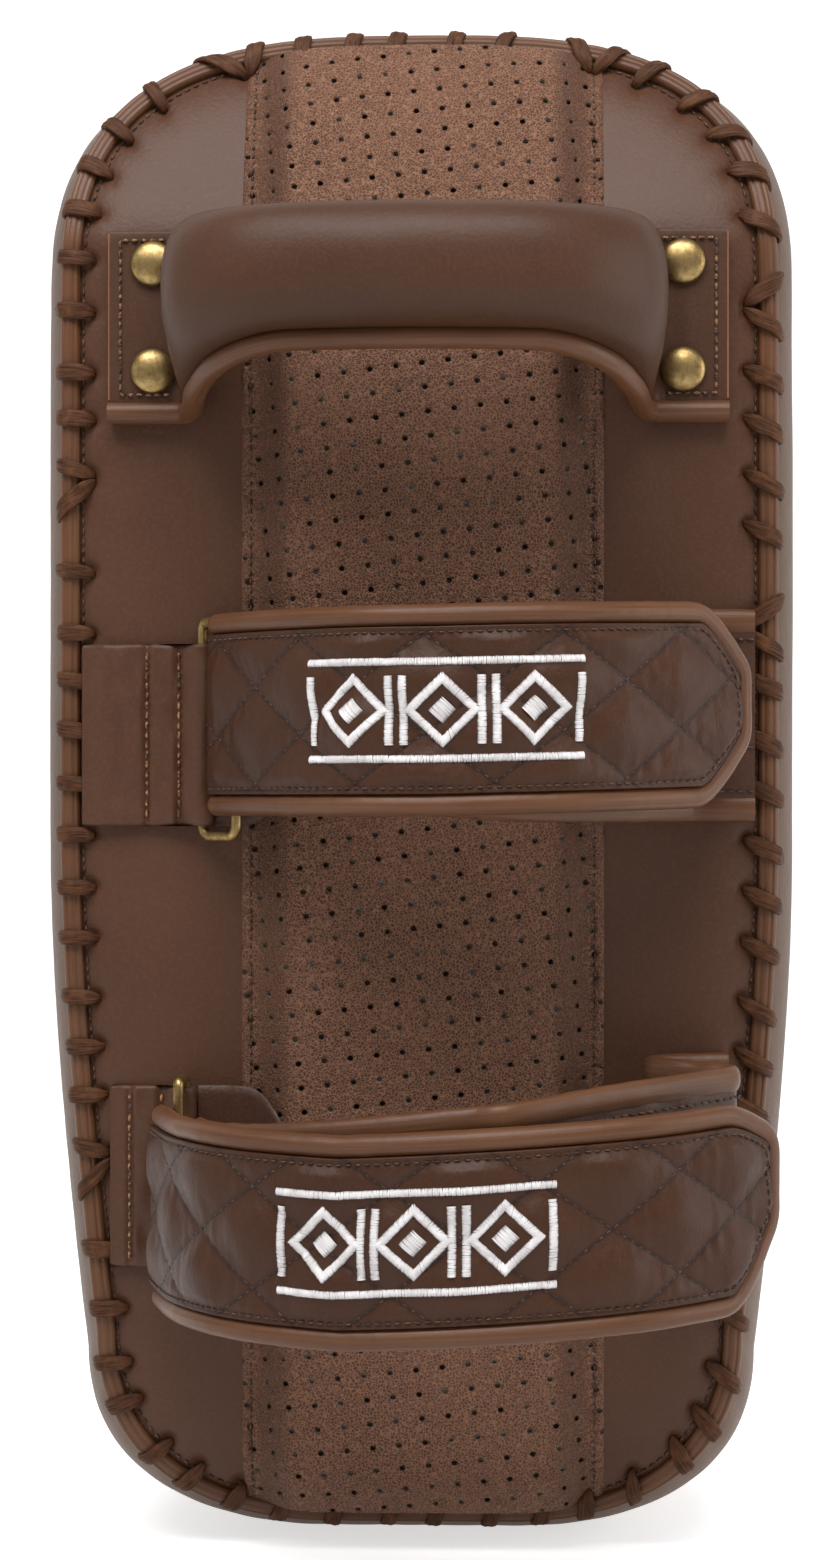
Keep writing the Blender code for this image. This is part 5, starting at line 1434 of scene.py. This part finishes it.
def make_flap(name, strap):
    """The quilted flap, its lining, fastener, piping, stitches and badge."""
    flap = Flap(strap)
    body = f"{name}_flap_body"
    length = flap.route.length
    d = np.concatenate([np.linspace(0.0, flap.wrap, 40)[:-1], np.linspace(flap.wrap, length, 300)])
    low, high = flap.limits(d)
    front, half = 120, FLAP_THICKNESS / 2
    points = strip(flap.route, d, low, high, (-half, half), (front, 14), flap.relief, 12.0)
    levels = (low + high)[:, None] / 2 + (high - low)[:, None] / 2 * front_levels(front)[None]
    # the seam field marks the quilting lines on the outer face; the quilted leather paints shade along them
    seam = np.zeros(points.shape[:2])
    seam[:, :front] = flap.seam(d[:, None] + 0.0 * levels, levels)
    piece = grid(f"{name}_flap_quilted", points, MATERIALS["quilt"], closed=(False, True), caps=True,
                 field=seam)
    place(piece, body, "dark_leather", f"{name}_flap")

    d = np.linspace(flap.wrap + 0.010, length, 160)
    low, high = flap.limits(d)
    back = -FLAP_THICKNESS / 2 - GAP
    lining = strip(flap.route, d, low, high, (back - SHEET, back), (16, 10))
    piece = grid(f"{name}_lining_leather", lining, MATERIALS["strap"], closed=(False, True), caps=True,
                 sharp=50)
    place(piece, body, "dark_leather", f"{name}_flap_lining")
    share_low, share_high = strap["fastener"]
    d = np.linspace(share_low * length, share_high * length, 80)
    low, high = flap.limits(d)
    hook_face, loop_face = back - SHEET - GAP, back - 2 * SHEET - 2 * GAP
    for label, rides, offset in (("hook", body, hook_face), ("loop", "pad", loop_face)):
        patch = strip(flap.route, d, low + 0.004, high - 0.004, (offset - SHEET, offset), (16, 10))
        tape = grid(f"{name}_{label}_tape", patch, MATERIALS["nap"], closed=(False, True), caps=True,
                    sharp=50)
        place(tape, rides, "hook_and_loop", f"{name}_{label}_patch")
    make_flap_piping(name, flap, body)
    make_flap_stitches(name, flap, body)
    make_badge(name, flap, body)
    make_base_strap(name, strap, flap, loop_face - SHEET - GAP - BASE_THICKNESS / 2)


def flap_edge(flap, start, away):
    """The flap's edge along its top, round the tip and back, offset outwards, as (distance, z)."""
    d = np.linspace(start, flap.route.length, 500)
    low, high = flap.limits(d)
    edge = np.concatenate([np.stack([d, high], -1), np.stack([d, low], -1)[::-1]])
    run = run_of(edge)
    edge = read(edge, run, np.linspace(0.0, run[-1], 700))
    edge = blur(edge, 14)
    along = tangents(edge)
    outward = np.stack([-along[:, 1], along[:, 0]], -1)
    return edge + outward * away


def make_flap_piping(name, flap, body):
    """The round piping along the flap's edge, from the fold round the tip and back."""
    radius = FLAP_PIPING_RADIUS
    edge = flap_edge(flap, flap.wrap * flap.strap["piping_start"], radius - 0.0003)
    path = world(flap.route.at(edge[:, 0], -(GAP + SHEET) / 2 + 0.0004), edge[:, 1])
    run = run_of(path)
    path = read(path, run, np.linspace(0.0, run[-1], 620))
    normals = np.broadcast_to(np.array([0.0, -1.0, 0.0]), path.shape)
    count = len(path)
    end = np.minimum(np.arange(count), np.arange(count)[::-1]) / 6.0
    fade = np.sqrt(np.clip(1.0 - (1.0 - end).clip(0.0, 1.0) ** 2, 0.04, 1.0))[:, None]
    wave = 1.0 + 0.020 * ripple(path, 0.007, 51)[:, None]
    across, out = ring_section(20, radius, radius)
    shape = sweep(path, flat_normals(path, normals), across * fade * wave, out * fade * wave)
    piece = grid(f"{name}_flap_piping_leather", shape, MATERIALS["piping"], closed=(False, True), caps=True)
    place(piece, body, "light_leather", f"{name}_flap_piping")


def flat_normals(path, hint):
    """Normals square to a path, nearest to a hinted direction, or to X where the path runs along it."""
    along = tangents(path)
    lean = hint - along * (hint * along).sum(-1, keepdims=True)
    return unit(lean + 1e-4 * np.array([1.0, 0.0, 0.0]))


def make_flap_stitches(name, flap, body):
    """Dashes along every quilting line and a row just inside the piping."""
    wide, tall = flap.strap["quilt"]
    rows, margin = [], 0.002
    for sign in (-1.0, 1.0):
        for line in range(-9, 10):
            v = np.linspace(-0.030, 0.030, 160)
            d = flap.node + (line - sign * (v - flap.node_height) / tall) * wide
            z = flap.middle(d) + v
            low, high = flap.limits(d)
            inside = (d > flap.wrap * 0.75) & (d < flap.route.length - margin)
            inside &= (z > low + margin) & (z < high - margin)
            if inside.sum() > 20:
                sewn = flap.face(d[inside], z[inside], 0.00005)
                rows.append(stitch_paths(sewn, flap.normals(d[inside]), 0.0024, 0.62, 0.00015))
    edge = flap_edge(flap, flap.wrap * 0.9, -0.0016)
    rows.append(stitch_paths(flap.face(edge[:, 0], edge[:, 1], 0.0001), flap.normals(edge[:, 0]), 0.0024))
    place(stitches(f"{name}_quilt_stitches", rows, 0.00022, MATERIALS["thread"]), body, "waxed_lace")


def fill_shape(corners):
    """Satin stitches over a quadrilateral: threads from its first side to its opposite one."""
    pitch = 0.00034
    a, b, c, d = (np.asarray(corner, float) for corner in corners)
    count = max(int(np.linalg.norm((b + c - a - d) / 2) / pitch), 2)
    share = ((np.arange(count) + 0.5) / count)[:, None]
    return np.stack([a + (b - a) * share, d + (c - d) * share], 1)


def make_badge(name, flap, body):
    """A plain embroidered band: three nested lozenges, bars between them and a line over and under."""
    start, end = flap.strap["badge_x"]
    arch = flap.route.run > flap.wrap + 0.01
    first, last = np.interp([start, end], flap.route.line[arch, 0], flap.route.run[arch])
    length = last - first
    pieces = []

    def quad(*corners):
        pieces.append(fill_shape(corners))

    outer, inner, small = 0.0092, 0.0092 - 0.0029, 0.0032
    line_half, bar_half, bar_height = 0.0009, 0.0010, 0.0084
    steps = 12
    for level in (-0.0118, 0.0118):
        under, over = level - line_half, level + line_half
        for step in range(steps):
            u0, u1 = length * step / steps, length * (step + 1) / steps
            quad((u0, under), (u1, under), (u1, over), (u0, over))
    for centre in length * np.array([0.18, 0.5, 0.82]):
        for sx, sz in ((1, 1), (1, -1), (-1, -1), (-1, 1)):
            quad((centre, sz * outer), (centre + sx * outer, 0.0), (centre + sx * inner, 0.0),
                 (centre, sz * inner))
        quad((centre - small, 0.0), (centre, small), (centre + small, 0.0), (centre, -small))
    bars = [length * share + shift for share in (0.34, 0.66) for shift in (-0.0017, 0.0017)]
    for middle in bars + [length * 0.015, length * 0.985]:
        left, right = middle - bar_half, middle + bar_half
        quad((left, -bar_height), (left, bar_height), (right, bar_height), (right, -bar_height))
    ends = np.concatenate(pieces)
    rng = np.random.default_rng(9)
    ends = ends + rng.uniform(-0.00008, 0.00008, ends.shape)
    t = np.linspace(0.0, 1.0, 6)[None, :, None]
    flat = ends[:, :1] * (1.0 - t) + ends[:, 1:] * t
    d = first + flat[..., 0]
    z = flap.middle(d) + flat[..., 1]
    lift = 0.00010 + 0.00050 * np.sin(np.pi * t[..., 0]) ** 0.6
    paths = flap.face(d, z, lift + 0.0 * d)
    piece = thread_mesh(f"{name}_badge_thread", paths, flap.normals(d), 0.00020, MATERIALS["white"])
    place(piece, body, "webbing")


def make_base_strap(name, strap, flap, offset):
    """The strap under the flap, its two bindings and the stitches along them and at the seam."""
    length = flap.route.length
    d = np.linspace(flap.wrap + 0.0095, strap["base_length"] * length, 40)
    over = flap.route.at(d, offset)
    end_x = seam_half_width(strap["seam_z"] - BASE_HALF_HEIGHTS[1]) - 0.0040
    route = Route(np.concatenate([over[:35:4], strap["turn"], [(end_x, 0.0016)]]), 5)
    d = np.linspace(0.0, route.length, 320)
    share = d / route.length
    middle = strap["flap_z"][0][1] + (strap["seam_z"] - strap["flap_z"][0][1]) * smooth(share)
    half = BASE_HALF_HEIGHTS[0] + (BASE_HALF_HEIGHTS[1] - BASE_HALF_HEIGHTS[0]) * smooth(share * 1.6)
    flat = BASE_THICKNESS / 2

    def wave(distance, z):
        return 0.00025 * ripple(np.stack([distance, z], -1), 0.016, 61)

    points = strip(route, d, middle - half, middle + half, (-flat, flat), (40, 20), wave)
    piece = grid(f"{name}_base_leather", points, MATERIALS["strap"], closed=(False, True), caps=True,
                 sharp=50)
    place(piece, "pad", "dark_leather", f"{name}_base_strap")
    rows = []
    for label, sign in (("bottom", -1.0), ("top", 1.0)):
        z = middle + sign * (half + 0.0004)
        path = world(route.at(d), z)
        side = level_normal(route.normal(d))
        across, out = ring_section(22, BINDING_FLAT, BINDING_TALL, 2.3)
        up = np.broadcast_to(np.array([0.0, 0.0, 1.0]), path.shape)
        wave_path = 1.0 + 0.03 * ripple(path, 0.008, 71)[:, None]
        shape = sweep(path, up, across * wave_path, out * wave_path)
        binding = grid(f"{name}_base_binding_{label}_leather", shape, MATERIALS["piping"],
                       closed=(False, True), caps=True, sharp=50)
        place(binding, "pad", "light_leather", f"{name}_base_binding_{label}")
        line = world(route.at(d, flat + 0.0003), middle + sign * (half - 0.0040))
        rows.append(stitch_paths(line, side, 0.0026))
    tail = d > route.length - 0.016
    for share_up in (-0.35, 0.35):
        line = world(route.at(d[tail], flat + 0.0002), (middle + share_up * half)[tail])
        rows.append(stitch_paths(line, level_normal(route.normal(d[tail])), 0.0026))
    place(stitches(f"{name}_base_stitches", rows, 0.00032, MATERIALS["thread"]), "pad", "waxed_lace")


# ---------------------------------------------------------------- nodes that keep their own shape

def paint_kept_nodes():
    """Give the hidden core pieces their finishes."""
    finishes = {"foam": ("foam_", "back_center_foam", "handle_core"), "webbing": ("handle_webbing",),
                "steel": ("handle_washer",)}
    for key, starts in finishes.items():
        for node, piece in frame["nodes"].items():
            if node.startswith(starts):
                piece.data.materials.clear()
                piece.data.materials.append(MATERIALS[key])


# ---------------------------------------------------------------- floor, light and camera

def make_stage():
    """A pale floor that curves up behind the pad, as a profile of floor, quarter turn and wall."""
    turn = np.radians(np.linspace(0.0, 90.0, 24))
    radius, back = 1.2, 1.4
    y = np.concatenate([[-6.0, -2.0, 0.0], back + radius * np.sin(turn), [back + radius]])
    z = np.concatenate([[0.0, 0.0, 0.0], radius - radius * np.cos(turn), [6.0]])
    x = np.linspace(-6.0, 6.0, 9)
    points = np.stack(np.broadcast_arrays(x[None], y[:, None], z[:, None]), -1)
    material, tree, shader, space = new_material("studio_paper", 0.9)
    tone = noise(tree, space["Object"], 0.8, 2.0)
    colour = mix_colour(tree, tone, (0.86, 0.86, 0.86), (0.90, 0.90, 0.90))
    tree.links.new(colour, shader.inputs["Base Color"])
    depth = add_node(tree, "ShaderNodeSeparateXYZ", {"Vector": space["Object"]}).outputs["Y"]
    shader.inputs["Emission Color"].default_value = (1.0, 1.0, 1.0, 1.0)
    seen = add_node(tree, "ShaderNodeLightPath").outputs["Is Camera Ray"]
    behind = spread(tree, depth, -0.12, 0.10)
    glow = math_node(tree, "MULTIPLY", math_node(tree, "MAXIMUM", behind, seen), 0.62)
    tree.links.new(glow, shader.inputs["Emission Strength"])
    grid("studio_floor", points, material, toward=(0, -0.7, 0.7))


def add_light(name, place_at, aim, size, power):
    """A soft white oblong light aimed at a point."""
    lamp = bpy.data.lights.new(name, "AREA")
    lamp.shape = "RECTANGLE"
    lamp.size, lamp.size_y = size
    lamp.energy = power
    holder = bpy.data.objects.new(name, lamp)
    bpy.context.scene.collection.objects.link(holder)
    aim_at(holder, place_at, aim)


def aim_at(holder, place_at, aim):
    """Put an object somewhere, looking at a point with its top up."""
    holder.location = place_at
    holder.rotation_euler = (Vector(aim) - Vector(place_at)).to_track_quat("-Z", "Y").to_euler()


def make_studio():
    """Even white surroundings, a soft light above and one at each side, and the camera."""
    scene = bpy.context.scene
    scene.view_settings.view_transform = "Standard"
    world_light = bpy.data.worlds.new("studio")
    world_light.use_nodes = True
    sky = world_light.node_tree
    seen = sky.nodes.new("ShaderNodeLightPath").outputs["Is Camera Ray"]
    sky.nodes["Background"].inputs["Color"].default_value = (1.0, 1.0, 1.0, 1.0)
    sky.links.new(spread(sky, seen, 0.0, 1.0, 0.28, 1.0), sky.nodes["Background"].inputs["Strength"])
    scene.world = world_light
    add_light("key_light", (-0.10, -0.60, 1.02), (0.0, -0.02, 0.24), (1.1, 0.5), 12.0)
    add_light("left_light", (-1.4, -0.5, 0.5), (0.0, 0.0, 0.2), (0.6, 1.0), 1.2)
    add_light("right_light", (1.3, -0.3, 0.4), (0.0, 0.0, 0.2), (0.6, 1.0), 6.0)
    lens = bpy.data.cameras.new("camera")
    lens.lens = FOCAL_LENGTH
    lens.sensor_width = 36.0
    lens.clip_start = 0.05
    camera = bpy.data.objects.new("camera", lens)
    scene.collection.objects.link(camera)
    aim_at(camera, (CAMERA_X, -PAD_DEPTH / 2 - CAMERA_AWAY, CAMERA_Z), (0.0, -PAD_DEPTH / 2, CAMERA_Z))
    scene.camera = camera


# ---------------------------------------------------------------- build

make_stage()
make_studio()
paint_kept_nodes()
make_wall()
make_strike_side()
make_side_panels()
make_centre_panel()
make_edge_binding()
make_lace()
make_panel_stitches()
make_handle()
make_tab_edges()
make_rivets()
for strap_name, strap_sizes in STRAPS.items():
    make_anchor(strap_name, strap_sizes)
    make_ring(strap_name, strap_sizes)
    make_flap(strap_name, strap_sizes)

bpy.context.view_layer.update()
